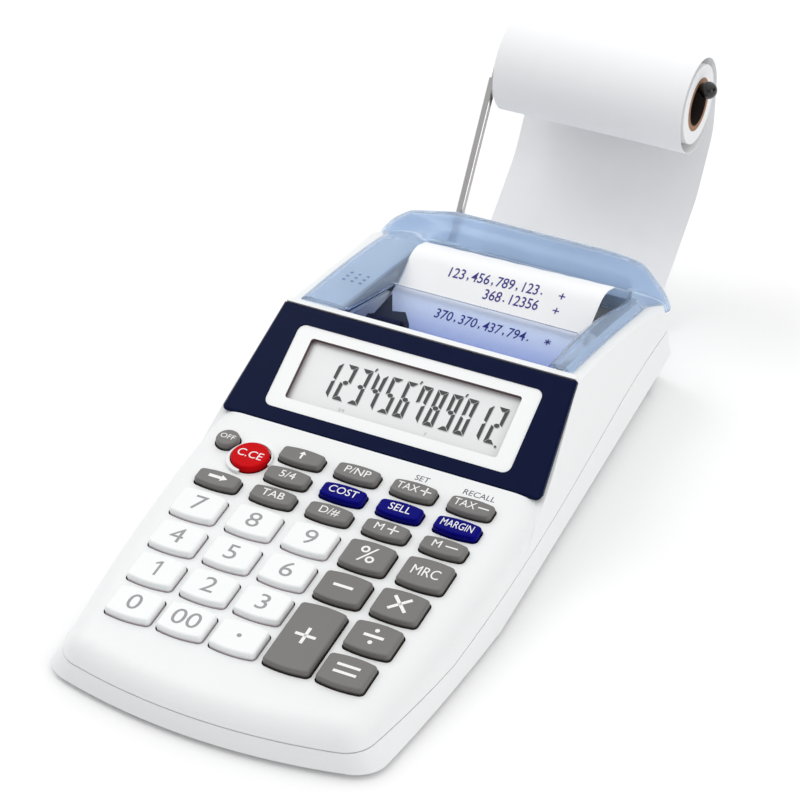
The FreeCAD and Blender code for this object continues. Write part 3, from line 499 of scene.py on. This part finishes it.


# The gap entries paint shade low down between the keys: on the case walls round them and at the keys'
# feet.
FINISH = {
    "case_white": moulded("case white plastic", rgb(0.835, 0.85, 0.85), 0.42, 0.03, 0.0, 0.012,
                          gap=(rgb(0.06, 0.03, 0.03), -0.35, 0.3, True)),
    "bezel_navy": moulded("bezel navy gloss", rgb(0.004, 0.008, 0.038), 0.2, 0.0, 0.0, 0.1, 0.05),
    "frame_white": frame_plastic("window frame white"),
    "lcd_grey": display_glass("display glass grey"),
    "cover_blue": tinted("cover blue see-through", rgb(0.64, 0.77, 0.95), 0.8, 0.12, 1.2, 0.9),
    "printer_black": moulded("printer black plastic", rgb(0.006, 0.006, 0.007), 0.45),
    "rubber_dark": rubber("black rubber", rgb(0.018, 0.018, 0.019)),
    "gear_white": moulded("gear white plastic", rgb(0.78, 0.77, 0.72), 0.4),
    "motor_steel": metal("motor can steel", rgb(0.52, 0.52, 0.53), 0.3),
    "gear_brass": metal("pinion brass", rgb(0.62, 0.42, 0.16), 0.28),
    "steel_bright": metal("ground steel", rgb(0.62, 0.62, 0.63), 0.22),
    "ink_violet": rubber("ink soaked foam", rgb(0.008, 0.005, 0.016)),
    "paper_white": paper("white paper"),
    "core_brown": cardboard("brown core board"),
    "chrome_bright": metal("bright plated wire", rgb(0.62, 0.61, 0.60), 0.1, 2),
    "knob_black": moulded("knob black plastic", rgb(0.005, 0.005, 0.005), 0.22, 0.0, 0.3),
    "cell_jacket": moulded("cell jacket", rgb(0.03, 0.035, 0.05), 0.3, 0.0, 0.3),
    "board_green": moulded("board green mask", rgb(0.02, 0.12, 0.045), 0.35, 0.04),
    "mat_grey": rubber("key mat rubber", rgb(0.22, 0.22, 0.23)),
    "key_white": moulded("key white plastic", rgb(0.87, 0.89, 0.885), 0.34, 0.015, 0.1, 0.012,
                         gap=(rgb(0.70, 0.62, 0.65), 0.3, 0.8, False)),
    "key_grey": moulded("key grey plastic", rgb(0.155, 0.15, 0.142), 0.42, 0.03, 0.0, 0.05,
                        gap=(rgb(0.035, 0.026, 0.021), 0.6, 1.3, False)),
    "key_red": moulded("key red plastic", rgb(0.56, 0.0, 0.003), 0.45, 0.01, 0.0, 0.04, 0.06,
                       gap=(rgb(0.16, 0.0, 0.0), 0.1, 0.6, False)),
    "key_blue": moulded("key blue plastic", rgb(0.0, 0.0, 0.165), 0.45, 0.02, 0.0, 0.06, 0.06,
                        gap=(rgb(0.001, 0.001, 0.03), 0.1, 0.7, False)),
}
INK_GREY = printed("legend grey", rgb(0.30, 0.30, 0.31))
INK_WHITE = printed("legend white", rgb(0.86, 0.86, 0.85))
INK_DARK = printed("panel legend dark", rgb(0.07, 0.07, 0.08))
INK_TAPE = printed("tape ink violet", rgb(0.035, 0.03, 0.24), 0.7)
SEGMENT = printed("display segment", rgb(0.035, 0.035, 0.036), 0.4)
SEGMENT_SHADOW = printed("display segment shadow", rgb(0.50, 0.51, 0.52), 0.4)
SEGMENT_FAINT = printed("display mark faint", rgb(0.44, 0.45, 0.46), 0.4)
ROLL_PAPER = paper("roll paper with turns", True)
WINDOW_BLUE = window("cover window blue")
FROSTED = moulded("frosted tear edge", rgb(0.90, 0.92, 0.95), 0.5)
TEAR_SHADE = printed("tear edge shade", rgb(0.20, 0.24, 0.38))
DOT_BLUE = printed("grip dot blue", rgb(0.02, 0.05, 0.30))

for part in frame["record"]["subparts"]:
    mesh = nodes[part["node"]].data
    mesh.materials.clear()
    mesh.materials.append(FINISH[part["material_slot"]])
nodes["paper_roll"].data.materials[0] = ROLL_PAPER
nodes["printer_frame"].data.materials[0] = FINISH["gear_white"]


# Mesh helpers, sizes in millimetres

def add_mesh(name, verts, faces, mat, smooth=False):
    mesh = bpy.data.meshes.new(name)
    mesh.from_pydata([Vector(v) * MM for v in verts], [], faces)
    mesh.validate()
    mesh.materials.append(mat)
    for polygon in mesh.polygons:
        polygon.use_smooth = smooth
    obj = bpy.data.objects.new(name, mesh)
    scene.collection.objects.link(obj)
    return obj


def grid(name, rows, mat):
    """Smooth sheet through rows of points."""
    width = len(rows[0])
    faces = []
    for r in range(len(rows) - 1):
        for c in range(width - 1):
            i = r * width + c
            faces.append((i, i + 1, i + width + 1, i + width))
    return add_mesh(name, [p for row in rows for p in row], faces, mat, True)


def thicken(obj, thickness, rounds=0, side=-1):
    """Give a sheet its thickness as plain mesh, after rounding it off this many times."""
    if rounds:
        soft = obj.modifiers.new("rounding", "SUBSURF")
        soft.levels = rounds
    solid = obj.modifiers.new("thickness", "SOLIDIFY")
    solid.thickness = thickness * MM
    solid.offset = side
    bpy.context.view_layer.update()
    graph = bpy.context.evaluated_depsgraph_get()
    mesh = bpy.data.meshes.new_from_object(obj.evaluated_get(graph))
    obj.modifiers.clear()
    obj.data = mesh
    mesh.set_sharp_from_angle(angle=math.radians(45))
    return obj


def steps(first, last, count):
    return [first + (last - first) * i / count for i in range(count + 1)]


def ease(share):
    share = min(1.0, max(0.0, share))
    return share * share * (3 - 2 * share)


def along(keys, share):
    """Smooth curve through a few points, each a tuple."""
    place = min(max(share, 0.0), 1.0) * (len(keys) - 1)
    i = min(int(place), len(keys) - 2)
    t = place - i
    p = [Vector(keys[min(max(k, 0), len(keys) - 1)]) for k in (i - 1, i, i + 1, i + 2)]
    return 0.5 * (2 * p[1] + (p[2] - p[0]) * t + (2 * p[0] - 5 * p[1] + 4 * p[2] - p[3]) * t ** 2
                  + (3 * p[1] - p[0] - 3 * p[2] + p[3]) * t ** 3)


def on_plane(origin, tilt, u, v, lift):
    """Maps (x, y) drawn flat to a tilted plane, moved to (u, v) on it and lifted off it."""
    uphill = Vector((0, math.cos(tilt), math.sin(tilt)))
    out = Vector((0, -math.sin(tilt), math.cos(tilt)))
    return lambda x, y, z: origin + Vector((u + x, 0, 0)) + uphill * (v + y) + out * (lift + z)


def band(base, count):
    """Faces between the loop of points that starts at base and the loop after it."""
    faces = []
    for i in range(count):
        j = (i + 1) % count
        faces.append((base + i, base + j, base + count + j, base + count + i))
    return faces


def plates(name, loops, thick, to_place, mat):
    """Flat printed or cut shapes, each a convex loop of (x, y), with a little thickness."""
    verts, faces = [], []
    for loop in loops:
        base = len(verts)
        n = len(loop)
        verts += [to_place(x, y, 0) for x, y in loop]
        verts += [to_place(x, y, thick) for x, y in loop]
        faces.append(tuple(range(base + n, base + 2 * n)))
        faces.append(tuple(range(base + n - 1, base - 1, -1)))
        faces += band(base, n)
    return add_mesh(name, verts, faces, mat)


def bar(x, y, width, height, turn=0.0):
    corners = ((-width, -height), (width, -height), (width, height), (-width, height))
    c, s = math.cos(turn), math.sin(turn)
    return [(x + (a * c - b * s) / 2, y + (a * s + b * c) / 2) for a, b in corners]


def disc(x, y, radius, count=20):
    turns = [2 * math.pi * i / count for i in range(count)]
    return [(x + radius * math.cos(a), y + radius * math.sin(a)) for a in turns]


def letter_shapes(text, size, weight):
    """Points and faces of a word, centred on its place; size is the height of a capital."""
    curve = bpy.data.curves.new("word", "FONT")
    curve.body = text
    curve.size = size / CAPITAL_SHARE
    curve.align_x = "CENTER"
    curve.offset = weight
    curve.resolution_u = 4
    curve.extrude = PRINT_THICK / 2
    word = bpy.data.objects.new("word", curve)
    scene.collection.objects.link(word)
    bpy.context.view_layer.update()
    graph = bpy.context.evaluated_depsgraph_get()
    mesh = bpy.data.meshes.new_from_object(word.evaluated_get(graph))
    bpy.data.objects.remove(word)
    points = [(v.co.x, v.co.y - size / 2, v.co.z) for v in mesh.vertices]
    return points, [tuple(p.vertices) for p in mesh.polygons]


def lettering(name, marks, to_place, mat, weight=0.0):
    """Printed words as thin meshes; marks are (text, x, y, size, squeeze)."""
    verts, faces = [], []
    for text, x, y, size, squeeze in marks:
        points, loops = letter_shapes(text, size, weight)
        faces += [tuple(len(verts) + i for i in loop) for loop in loops]
        verts += [to_place(x + a * squeeze, y + b, c) for a, b, c in points]
    return add_mesh(name, verts, faces, mat)


# Key legends

slot_of = {part["node"]: part["material_slot"] for part in frame["record"]["subparts"]}


def key_spot(node):
    """Middle of a key, along the panel from its origin."""
    low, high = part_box(node)
    centre = (low + high) / 2 / MM - PANEL_ORIGIN
    return centre.x, centre.y * math.cos(PANEL_TILT) + centre.z * math.sin(PANEL_TILT)


def on_key(node):
    return on_plane(PANEL_ORIGIN, PANEL_TILT, *key_spot(node), KEY_RISE + PRINT_LIFT)


def key_ink(node):
    return INK_GREY if slot_of[node] == "key_white" else INK_WHITE


# Words as (text, size). Some are drawn narrower, and some stand aside for the sign after them.
DIGIT = 5.1
SMALL = 2.45
DIGITS = ("7", "8", "9", "4", "5", "6", "2", "3", "0", "00")
WORDS = {"key_" + digit: (digit, DIGIT) for digit in DIGITS}
WORDS.update({
    "key_percent": ("%", 5.4), "key_memory_recall": ("MRC", 3.2),
    "key_memory_plus": ("M", SMALL), "key_memory_minus": ("M", SMALL),
    "key_tab": ("TAB", SMALL), "key_date": ("D/#", SMALL), "key_round": ("5/4", SMALL),
    "key_cost": ("COST", SMALL), "key_sell": ("SELL", SMALL), "key_margin": ("MARGIN", SMALL),
    "key_print": ("P/NP", SMALL), "key_tax_plus": ("TAX", SMALL), "key_tax_minus": ("TAX", SMALL),
    "key_off": ("OFF", 1.7), "key_clear": ("C.CE", 2.6),
})
NARROW = {"MARGIN": 0.68, "TAX": 0.86, "MRC": 0.82, "SELL": 0.9, "COST": 0.9, "C.CE": 0.92}
ASIDE = {"TAX": -1.7, "M": -1.9}

# Signs drawn as bars, discs and points
BOLD = 0.9
FINE = 0.42
SPOT = 0.62
SIGNS = {
    "key_plus": [bar(0, 0, 5.6, BOLD), bar(0, 0, BOLD, 5.6)],
    "key_minus": [bar(0, 0, 5.4, BOLD)],
    "key_times": [bar(0, 0, 6.6, BOLD, math.radians(45)), bar(0, 0, 6.6, BOLD, math.radians(-45))],
    "key_divide": [bar(0, 0, 5.4, BOLD), disc(0, 2.1, SPOT), disc(0, -2.1, SPOT)],
    "key_equals": [bar(0, 1.2, 6.2, 0.85), bar(0, -1.2, 6.2, 0.85)],
    "key_point": [disc(0, 0, SPOT)],
    "key_1": [bar(0.5, 0, 0.62, DIGIT), [(-0.95, 1.15), (0.2, 1.75), (0.2, 2.55), (-0.95, 1.7)]],
    "key_memory_plus": [bar(2.0, -0.1, 3.2, FINE), bar(2.0, -0.1, FINE, 3.2)],
    "key_memory_minus": [bar(2.2, -0.1, 3.4, FINE)],
    "key_tax_plus": [bar(3.4, -0.1, 3.0, FINE), bar(3.4, -0.1, FINE, 3.0)],
    "key_tax_minus": [bar(3.5, -0.1, 3.0, FINE)],
    "key_up": [bar(0, -0.5, 0.55, 1.8), [(-0.95, 0.3), (0.95, 0.3), (0, 1.4)]],
    "key_back": [bar(-0.9, 0, 3.6, 1.0), [(0.8, -1.15), (2.7, 0), (0.8, 1.15)]],
}
PANEL_WORDS = {"key_tax_plus": "SET", "key_tax_minus": "RECALL"}
PANEL_WORD = 1.9
PANEL_SHIFT = (-0.5, 5.8)

for node, (text, size) in WORDS.items():
    squeeze = NARROW.get(text, 1.1 if size == DIGIT else 1.0)
    mark = (text, ASIDE.get(text, 0), 0, size, squeeze)
    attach(lettering("legend_" + node, [mark], on_key(node), key_ink(node)), node + "_body")
for node, loops in SIGNS.items():
    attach(plates("sign_" + node, loops, PRINT_THICK, on_key(node), key_ink(node)), node + "_body")
panel = on_plane(PANEL_ORIGIN, PANEL_TILT, 0, 0, PRINT_LIFT)
panel_marks = []
for node, word in PANEL_WORDS.items():
    u, v = key_spot(node)
    panel_marks.append((word, u + PANEL_SHIFT[0], v + PANEL_SHIFT[1], PANEL_WORD, 0.95))
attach(lettering("panel_words", panel_marks, panel, INK_DARK), "housing")


# Collar of the clear key

def clear_collar():
    place = on_plane(PANEL_ORIGIN, PANEL_TILT, *key_spot("key_clear"), 0)
    verts, faces = [], []
    for i, angle in enumerate(steps(COLLAR_FROM, COLLAR_TO, 72)):
        edge = COLLAR_OUTER + COLLAR_SWELL * max(0.0, math.cos(angle - COLLAR_HEAVY)) ** 2
        section = (
            (edge, -COLLAR_SINK), (edge - 0.1, COLLAR_HEIGHT - 0.25), (edge - 0.3, COLLAR_HEIGHT),
            (COLLAR_INNER, COLLAR_HEIGHT), (COLLAR_INNER, -COLLAR_SINK))
        n = len(section)
        verts += [place(r * math.cos(angle), r * math.sin(angle), z) for r, z in section]
        if i:
            faces += band((i - 1) * n, n)
    faces += [tuple(range(n)), tuple(range(len(verts) - 1, len(verts) - n - 1, -1))]
    return add_mesh("clear_key_collar", verts, faces, FINISH["case_white"])


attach(clear_collar(), "housing")


# Display figures, with the segments that each one lights

FIGURES = "123456789012"
LIT = {"0": "abcdef", "1": "bc", "2": "abdeg", "3": "abcdg", "4": "bcfg", "5": "acdfg",
       "6": "acdefg", "7": "abcf", "8": "abcdefg", "9": "abcdfg"}


def segments(left, low):
    """The seven bars of one figure, mitred where they meet."""
    h = FIGURE_HEIGHT
    w = FIGURE_WIDTH
    t = FIGURE_STROKE
    gap = SEGMENT_GAP
    nip = SEGMENT_NIP
    mid = h / 2
    inner = w - t
    shapes = {
        "a": [(gap, h), (t, h - t), (inner, h - t), (w - gap, h)],
        "d": [(t, t), (gap, 0), (w - gap, 0), (inner, t)],
        "g": [(t * 0.6, mid), (t, mid - t / 2), (inner, mid - t / 2), (w - t * 0.6, mid),
              (inner, mid + t / 2), (t, mid + t / 2)],
        "f": [(0, h - gap), (nip, mid + gap), (t - gap, mid + t / 2), (t - gap, h - t - gap)],
        "b": [(w, h - gap), (inner + gap, h - t - gap), (inner + gap, mid + t / 2),
              (w - nip, mid + gap)],
        "e": [(nip, mid - gap), (0, gap), (t - gap, t + gap), (t - gap, mid - t / 2)],
        "c": [(w - nip, mid - gap), (inner + gap, mid - t / 2), (inner + gap, t + gap), (w, gap)],
    }
    return {k: [(left + x + FIGURE_SLANT * y, low + y) for x, y in loop] for k, loop in shapes.items()}


def display_figures():
    """Twelve figures, the marks between their groups of three, and the point at the end."""
    loops = []
    for i, figure in enumerate(FIGURES):
        cell = segments(FIGURE_LEFT + FIGURE_PITCH * i, FIGURE_LOW)
        loops += [cell[k] for k in LIT[figure]]
    top = FIGURE_LOW + FIGURE_HEIGHT
    for i in (3, 6, 9):
        x = FIGURE_LEFT + FIGURE_PITCH * i - 0.55
        loops.append([(x, top + 1.0), (x - 0.25, top), (x + 0.1, top), (x + 0.55, top + 1.0)])
    loops.append(bar(*FIGURE_POINT, POINT_SIZE, POINT_SIZE))
    return loops


glass = on_plane(DISPLAY_ORIGIN, DISPLAY_TILT, 0, 0, PRINT_LIFT - LCD_DEPTH)
glass_low = on_plane(DISPLAY_ORIGIN, DISPLAY_TILT, *SHADOW_SHIFT, SHADOW_LIFT - LCD_DEPTH)
figures = display_figures()
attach(plates("display_figures", figures, FIGURE_THICK, glass, SEGMENT), "housing")
figure_shadows = plates("display_figure_shadows", figures, SHADOW_THICK, glass_low, SEGMENT_SHADOW)
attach(figure_shadows, "housing")
faint_marks = [("5/4", -15.0, 7.7, 1.0, 1.0), ("F", 9.6, 7.7, 1.0, 1.0)]
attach(lettering("display_marks", faint_marks, glass, SEGMENT_FAINT), "housing")


# Paper

class Route:
    """A line of (Y, Z, corner radius) points that gives the place at a distance along it."""

    def __init__(self, corners, tail):
        spots = [Vector((y, z)) for y, z, radius in corners]
        self.points = [spots[0]]
        for i in range(1, len(spots) - 1):
            a = (spots[i - 1] - spots[i]).normalized()
            b = (spots[i + 1] - spots[i]).normalized()
            half = a.angle(b) / 2
            radius = corners[i][2]
            centre = spots[i] + (a + b).normalized() * (radius / math.sin(half))
            first = spots[i] + a * (radius / math.tan(half)) - centre
            last = spots[i] + b * (radius / math.tan(half)) - centre
            for share in steps(0.0, 1.0, 16):
                self.points.append(centre + first.lerp(last, share).normalized() * radius)
        self.points += [spots[-1]] + tail
        self.marks = [0.0]
        for a, b in zip(self.points, self.points[1:]):
            self.marks.append(self.marks[-1] + (b - a).length)

    def at(self, distance):
        """Place, and the direction out of the printed side."""
        i = min(max(bisect.bisect(self.marks, distance), 1), len(self.marks) - 1)
        while self.marks[i] - self.marks[i - 1] < 1e-6:
            i += 1
        a, b = self.points[i - 1], self.points[i]
        ahead = (b - a) / (self.marks[i] - self.marks[i - 1])
        return a + ahead * (distance - self.marks[i - 1]), Vector((ahead.y, -ahead.x))

    def past(self, y, start):
        """First distance after start at which the line is behind this Y."""
        return next(m for m, p in zip(self.marks, self.points) if m > start and p.x >= y)


def platen_corner():
    """Height at which the tape's straight run from the tear edge would meet the platen's front."""
    to_bend = Vector(TEAR_BEND) - Vector(PLATEN)
    off_platen = math.acos(PATH_RADIUS / to_bend.length)
    slope = math.tan(math.atan2(to_bend.y, to_bend.x) + off_platen - math.pi / 2)
    return TEAR_BEND[1] - slope * (TEAR_BEND[0] - PAPER_FRONT)


def loose_turn():
    points = []
    for share in steps(0.0, 1.0, 90)[1:]:
        degrees, radius = along(LOOSE_TURN, share)
        angle = math.radians(degrees)
        points.append(Vector((ROLL_Y + radius * math.cos(angle), ROLL_Z + radius * math.sin(angle))))
    return points


route = Route([
    (*TAPE_END, 0), (*TAPE_TOP, 9.0), (*TEAR_BEND, 6.0),
    (PAPER_FRONT, platen_corner(), PATH_RADIUS), (PAPER_FRONT, PAPER_LOW, PATH_RADIUS),
    (PLATEN[0] + 23.0, PAPER_LOW, 16.0), (*SLOT, 8.0), (*WEB_LOW, 8.0), (*WEB_BEND, 20.0),
    (WEB_BACK, WEB_UPRIGHT, 16.0), (WEB_BACK, ROLL_Z, 0)], loose_turn())
inlet = route.past(WEB_FROM, PAST_PLATEN)
bend = route.past(WEB_SPLIT, inlet)


def paper_spot(x, distance, lift=0.0):
    """Place on the paper, x from its middle and this distance from the route's start."""
    spot, out = route.at(distance)
    spot = spot + out * lift
    free = ease((FREE_TO - distance) / FREE_LENGTH) * (x + PAPER_HALF) / PAPER_HALF
    drift = (ROLL_X - PAPER_X) * ease((distance - inlet) / DRIFT_LENGTH)
    return Vector((x + PAPER_X + drift, spot.x, spot.y + TWIST * free))


def paper_sheet(name, first, last, columns, rows, torn=0.0):
    """Paper from one distance to another; a torn start is ragged by this much."""
    lines = []
    for share in steps(0.0, 1.0, rows):
        line = []
        for c in range(columns + 1):
            edge = first + torn * (c % 2 + 0.6 * math.sin(c * 0.37))
            distance = edge + (last - edge) * share
            line.append(paper_spot(PAPER_HALF * (2 * c / columns - 1), distance))
        lines.append(line)
    return thicken(grid(name, lines, FINISH["paper_white"]), PAPER_THICK, 0, 0)


tape = paper_sheet("paper_tape", TORN, inlet, 116, 150, TORN_RAGGED)
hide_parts("paper_strip")
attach(tape, "housing")
low_web = paper_sheet("paper_web_low", inlet, bend, 12, 50)
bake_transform(low_web)
high_web = paper_sheet("paper_web_high", bend, route.marks[-1], 12, 150)
bend_z = route.at(bend)[0].y + WEB_MARGIN
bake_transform(high_web)


# Tape print. Lines are (X, distance, text, skew), signs (X, distance, sign).

PITCH = 1.82
SKEW = 0.045
TAPE_LETTER = 3.1
TAPE_SIGN = 2.6
COMMA_LIFT = 0.4
TAPE_LINES = (
    (-12.9, 16.3, "123,456,789,123.", SKEW),
    (-0.4, 20.2, "368.12356", SKEW),
    (-10.8, 29.9, "370,370,437,794.", 0.0),
)
TAPE_SIGNS = ((20.3, 15.3, "+"), (20.3, 19.8, "+"), (20.3, 24.4, "−"))
TAPE_STAR = (22.0, -29.7)


def on_tape(x, y, z):
    return paper_spot(x - PAPER_X, -y, PAPER_THICK + z)


tape_marks = []
for x, distance, text, skew in TAPE_LINES:
    for i, letter in enumerate(text):
        down = distance - skew * PITCH * i - (COMMA_LIFT if letter in ",." else 0.0)
        tape_marks.append((letter, x + PITCH * i, -down, TAPE_LETTER, 0.82))
tape_marks += [(sign, x, -distance, TAPE_SIGN, 1.0) for x, distance, sign in TAPE_SIGNS]
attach(lettering("tape_figures", tape_marks, on_tape, INK_TAPE, 0.02), "housing")
star = [bar(*TAPE_STAR, 2.0, 0.32, math.radians(angle)) for angle in (90, 30, -30)]
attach(plates("tape_star", star, PRINT_THICK, on_tape, INK_TAPE), "housing")


# Knob stem

def knob_stem():
    rows = []
    for x, radius in STEM:
        row = []
        for angle in steps(0.0, 2 * math.pi, 24):
            back = radius * math.cos(angle)
            up = radius * math.sin(angle)
            row.append((KNOB[0] + x, KNOB[1] + back, KNOB[2] + up))
        rows.append(row)
    return grid("knob_stem", rows, FINISH["knob_black"])


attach(knob_stem(), "rod")


# Printer cover

def deck_z(y):
    """Height of the rear deck, as a curve through its front, middle and end."""
    (a, za), (b, zb), (c, zc) = DECK
    front = za * (y - b) * (y - c) / ((a - b) * (a - c))
    middle = zb * (y - a) * (y - c) / ((b - a) * (b - c))
    end = zc * (y - a) * (y - b) / ((c - a) * (c - b))
    return front + middle + end


def pane_z(y):
    return PANE_TOP + (y - COVER_FRONT) * (PANE_END - PANE_TOP) / (TEAR_Y - COVER_FRONT)


def pane_edge(side, y):
    """Side edge of the window; on the right it draws in towards the tear edge."""
    if side < 0:
        return WELL_LEFT
    share = min((y - COVER_FRONT) / (TEAR_Y - COVER_FRONT), 1.0)
    widest = WELL_RIGHT + PANE_TUCK
    return widest + (TEAR_RIGHT - widest) * share


def shoulder(x):
    """How far the hood falls short on its left, where it comes down sooner."""
    near = max(0.0, 1 - ((x - SHOULDER_X) / SHOULDER_HALF) ** 2)
    return SHOULDER_DROP * near ** 2


def rim_section(side, y):
    """Across one side rim, from the foot of the well wall out to the rim's outer edge."""
    behind = ease((y - TEAR_Y) / WELL_STEP)
    flare = WELL_FLARE * ease((y - TEAR_Y) / FLARE_LENGTH)
    inner = -WELL_LEFT if side < 0 else WELL_RIGHT + flare
    outer = RIM_HALF + RIM_FLARE * (y - COVER_FRONT) / (CORNER_Y - COVER_FRONT)
    foot = pane_z(min(y, TEAR_Y)) * (1 - behind) + WELL_FLOOR * behind - 0.2
    foot_x = abs(pane_edge(side, y)) * (1 - behind) + (inner - 1.0) * behind
    top = deck_z(y) + RIM_LIFT
    points = [
        (foot_x, foot), (inner, top - 0.7), (inner + 0.2, top - 0.2), (inner + 0.8, top),
        ((inner + outer) / 2, top), (outer - 0.8, top), (outer - 0.15, top - 0.3),
        (outer, deck_z(y) + 0.1)]
    return [(side * x, y, z) for x, z in points]


def rim_corner(side, share):
    """The rim turns with a round fillet inside and runs out into a pointed ear outside."""
    start = rim_section(side, CORNER_Y)
    turn = share * math.pi / 2
    centre = abs(start[1][0]) - (FILLET_LEFT if side < 0 else FILLET_RIGHT)
    row = []
    for i in range(4):
        back, high = HOOD[i]
        x = centre + (abs(start[i][0]) - centre) * math.cos(turn)
        y = CORNER_Y + (back - CORNER_Y) * math.sin(turn)
        row.append(Vector((side * x, y, start[i][2] + (high - start[i][2]) * ease(share))))
    outer = []
    for k, (x, y, z) in enumerate(start[5:]):
        spot = along([(abs(x), y, z), *EAR[k]], share)
        drop = shoulder(side * spot.x) * (0.0 if k == 2 else share)
        outer.append(Vector((side * spot.x, spot.y, spot.z - drop)))
    ledge = row[3].lerp(outer[0], LEDGE_SHARE)
    ledge.z -= LEDGE_DROP * share
    return row + [ledge] + outer


def cover_rim():
    ends = {}
    for side in (-1, 1):
        rows = [rim_section(side, y) for y in steps(COVER_FRONT, CORNER_Y, 24)]
        rows += [rim_corner(side, share) for share in steps(0.0, 1.0, 16)[1:]]
        ends[side] = rows
    left, right = ends[-1][-1], ends[1][-1]
    back = []
    for share in steps(0.0, 1.0, 18)[1:-1]:
        row = []
        for i, (y, z) in enumerate(HOOD):
            x = left[i][0] + (right[i][0] - left[i][0]) * share
            drop = shoulder(x) if 3 < i < 7 else 0.0
            settle = ease((share - 0.9) / 0.1) * (right[i][2] - z)
            row.append((x, y, z - drop + settle))
        back.append(row)
    return grid("cover_rim", ends[-1] + back + ends[1][::-1], FINISH["cover_blue"])


def cover_pane():
    rows = []
    for y in steps(COVER_FRONT, TEAR_Y, 20):
        rows.append([(x, y, pane_z(y)) for x in steps(pane_edge(-1, y), pane_edge(1, y), 40)])
    return grid("cover_pane", rows, WINDOW_BLUE)


rim = thicken(cover_rim(), COVER_WALL, 1)
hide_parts("printer_cover")
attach(rim, "cover")
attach(thicken(cover_pane(), PANE_WALL), "cover")

tear_tilt = math.atan2(PANE_END - PANE_TOP, TEAR_Y - COVER_FRONT)
tear_line = on_plane(Vector((0, TEAR_Y, PANE_END)), tear_tilt, 0, 0, TEAR_LIFT)
tooth_spots = steps(WELL_LEFT + 0.5, TEAR_RIGHT - 0.3, TOOTH_GAPS)
teeth = [[(x + a, b) for a, b in TOOTH] for x in tooth_spots]
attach(plates("tear_teeth", teeth, TOOTH_THICK, tear_line, FROSTED), "cover")
tear_middle = (WELL_LEFT + TEAR_RIGHT) / 2
# a thin dark bar under the teeth is painted shadow along the tear edge
tear_shadow_line = [bar(tear_middle, TEAR_BAR_Y, TEAR_RIGHT - WELL_LEFT, TEAR_BAR_WIDTH)]
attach(plates("tear_shadow_line", tear_shadow_line, TEAR_BAR_THICK, tear_line, TEAR_SHADE), "cover")


# Grip dots on the left wing

def on_wing(x, y, z):
    return Vector((x, y, deck_z(y) + RIM_LIFT + GRIP_LIFT + z))


dots = []
for row in range(3):
    for column in range(3):
        x = GRIP_FIRST[0] + GRIP_PITCH[0] * column
        y = GRIP_FIRST[1] - GRIP_PITCH[1] * row
        dots.append(disc(x, y, GRIP_RADIUS, 14))
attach(plates("grip_dots", dots, GRIP_THICK, on_wing, DOT_BLUE), "cover")


# Stage, with its lights placed in metres

def add_area(name, place, target, size, power):
    light = bpy.data.lights.new(name, "AREA")
    light.shape = "DISK"
    light.size = size
    light.energy = power
    obj = bpy.data.objects.new(name, light)
    obj.location = place
    obj.rotation_euler = (Vector(target) - Vector(place)).to_track_quat("-Z", "Y").to_euler()
    scene.collection.objects.link(obj)


def floor_paint(name):
    mat, _, surface = material(name)
    surface["Base Color"].default_value = rgb(0.95, 0.95, 0.95)
    surface["Roughness"].default_value = 0.9
    surface["Specular IOR Level"].default_value = 0.1
    return mat


def studio(name):
    """White studio, brighter above and behind; shiny faces also mirror a dark side to the right."""
    world = bpy.data.worlds.new(name)
    world.use_nodes = True
    sky = Shade(world.node_tree)
    backdrop = world.node_tree.nodes["Background"].inputs
    x, y, z = sky.direction().axes()
    seen = sky.make("ShaderNodeLightPath", out="Is Camera Ray")
    mirrored = sky.make("ShaderNodeLightPath", out="Is Glossy Ray")
    dark_side = x.above(0.72, 0.3) * (1 - z.above(0.45, 0.2)) * mirrored
    level = (0.56 + 0.30 * y + 0.55 * z) * (1 - 0.85 * dark_side)
    sky.feed(backdrop["Strength"], seen + (1 - seen) * level)
    sky.feed(backdrop["Color"], level.above(0.6, 0.8).mix(rgb(0.97, 0.96, 1.0), rgb(1.0, 1.0, 1.0)))
    return world


def add_camera(name):
    camera = bpy.data.objects.new(name, bpy.data.cameras.new(name))
    camera.data.lens = 135.0
    camera.data.sensor_width = 36.0
    camera.data.clip_start = 0.05
    camera.data.clip_end = 20.0
    right = CAMERA_RIGHT.normalized()
    forward = CAMERA_FORWARD.normalized()
    up = right.cross(forward)
    turn = Matrix((right, up, -forward)).transposed().to_4x4()
    camera.matrix_world = Matrix.Translation(CAMERA_PLACE) @ turn
    scene.collection.objects.link(camera)
    return camera


floor_corners = [(x, y, 0) for x, y in bar(0, 0, 2 * FLOOR_HALF, 2 * FLOOR_HALF)]
floor = add_mesh("floor", floor_corners, [(0, 1, 2, 3)], floor_paint("pale floor"))
add_area("key_light", (-0.75, 0.15, 1.05), (0, 0, 0.02), 0.8, 3.4)
add_area("fill_light", (1.05, -0.35, 0.32), (0.02, 0.02, 0.03), 0.6, 1.6)
scene.world = studio("studio")
scene.view_settings.view_transform = "Standard"
scene.camera = add_camera("camera")
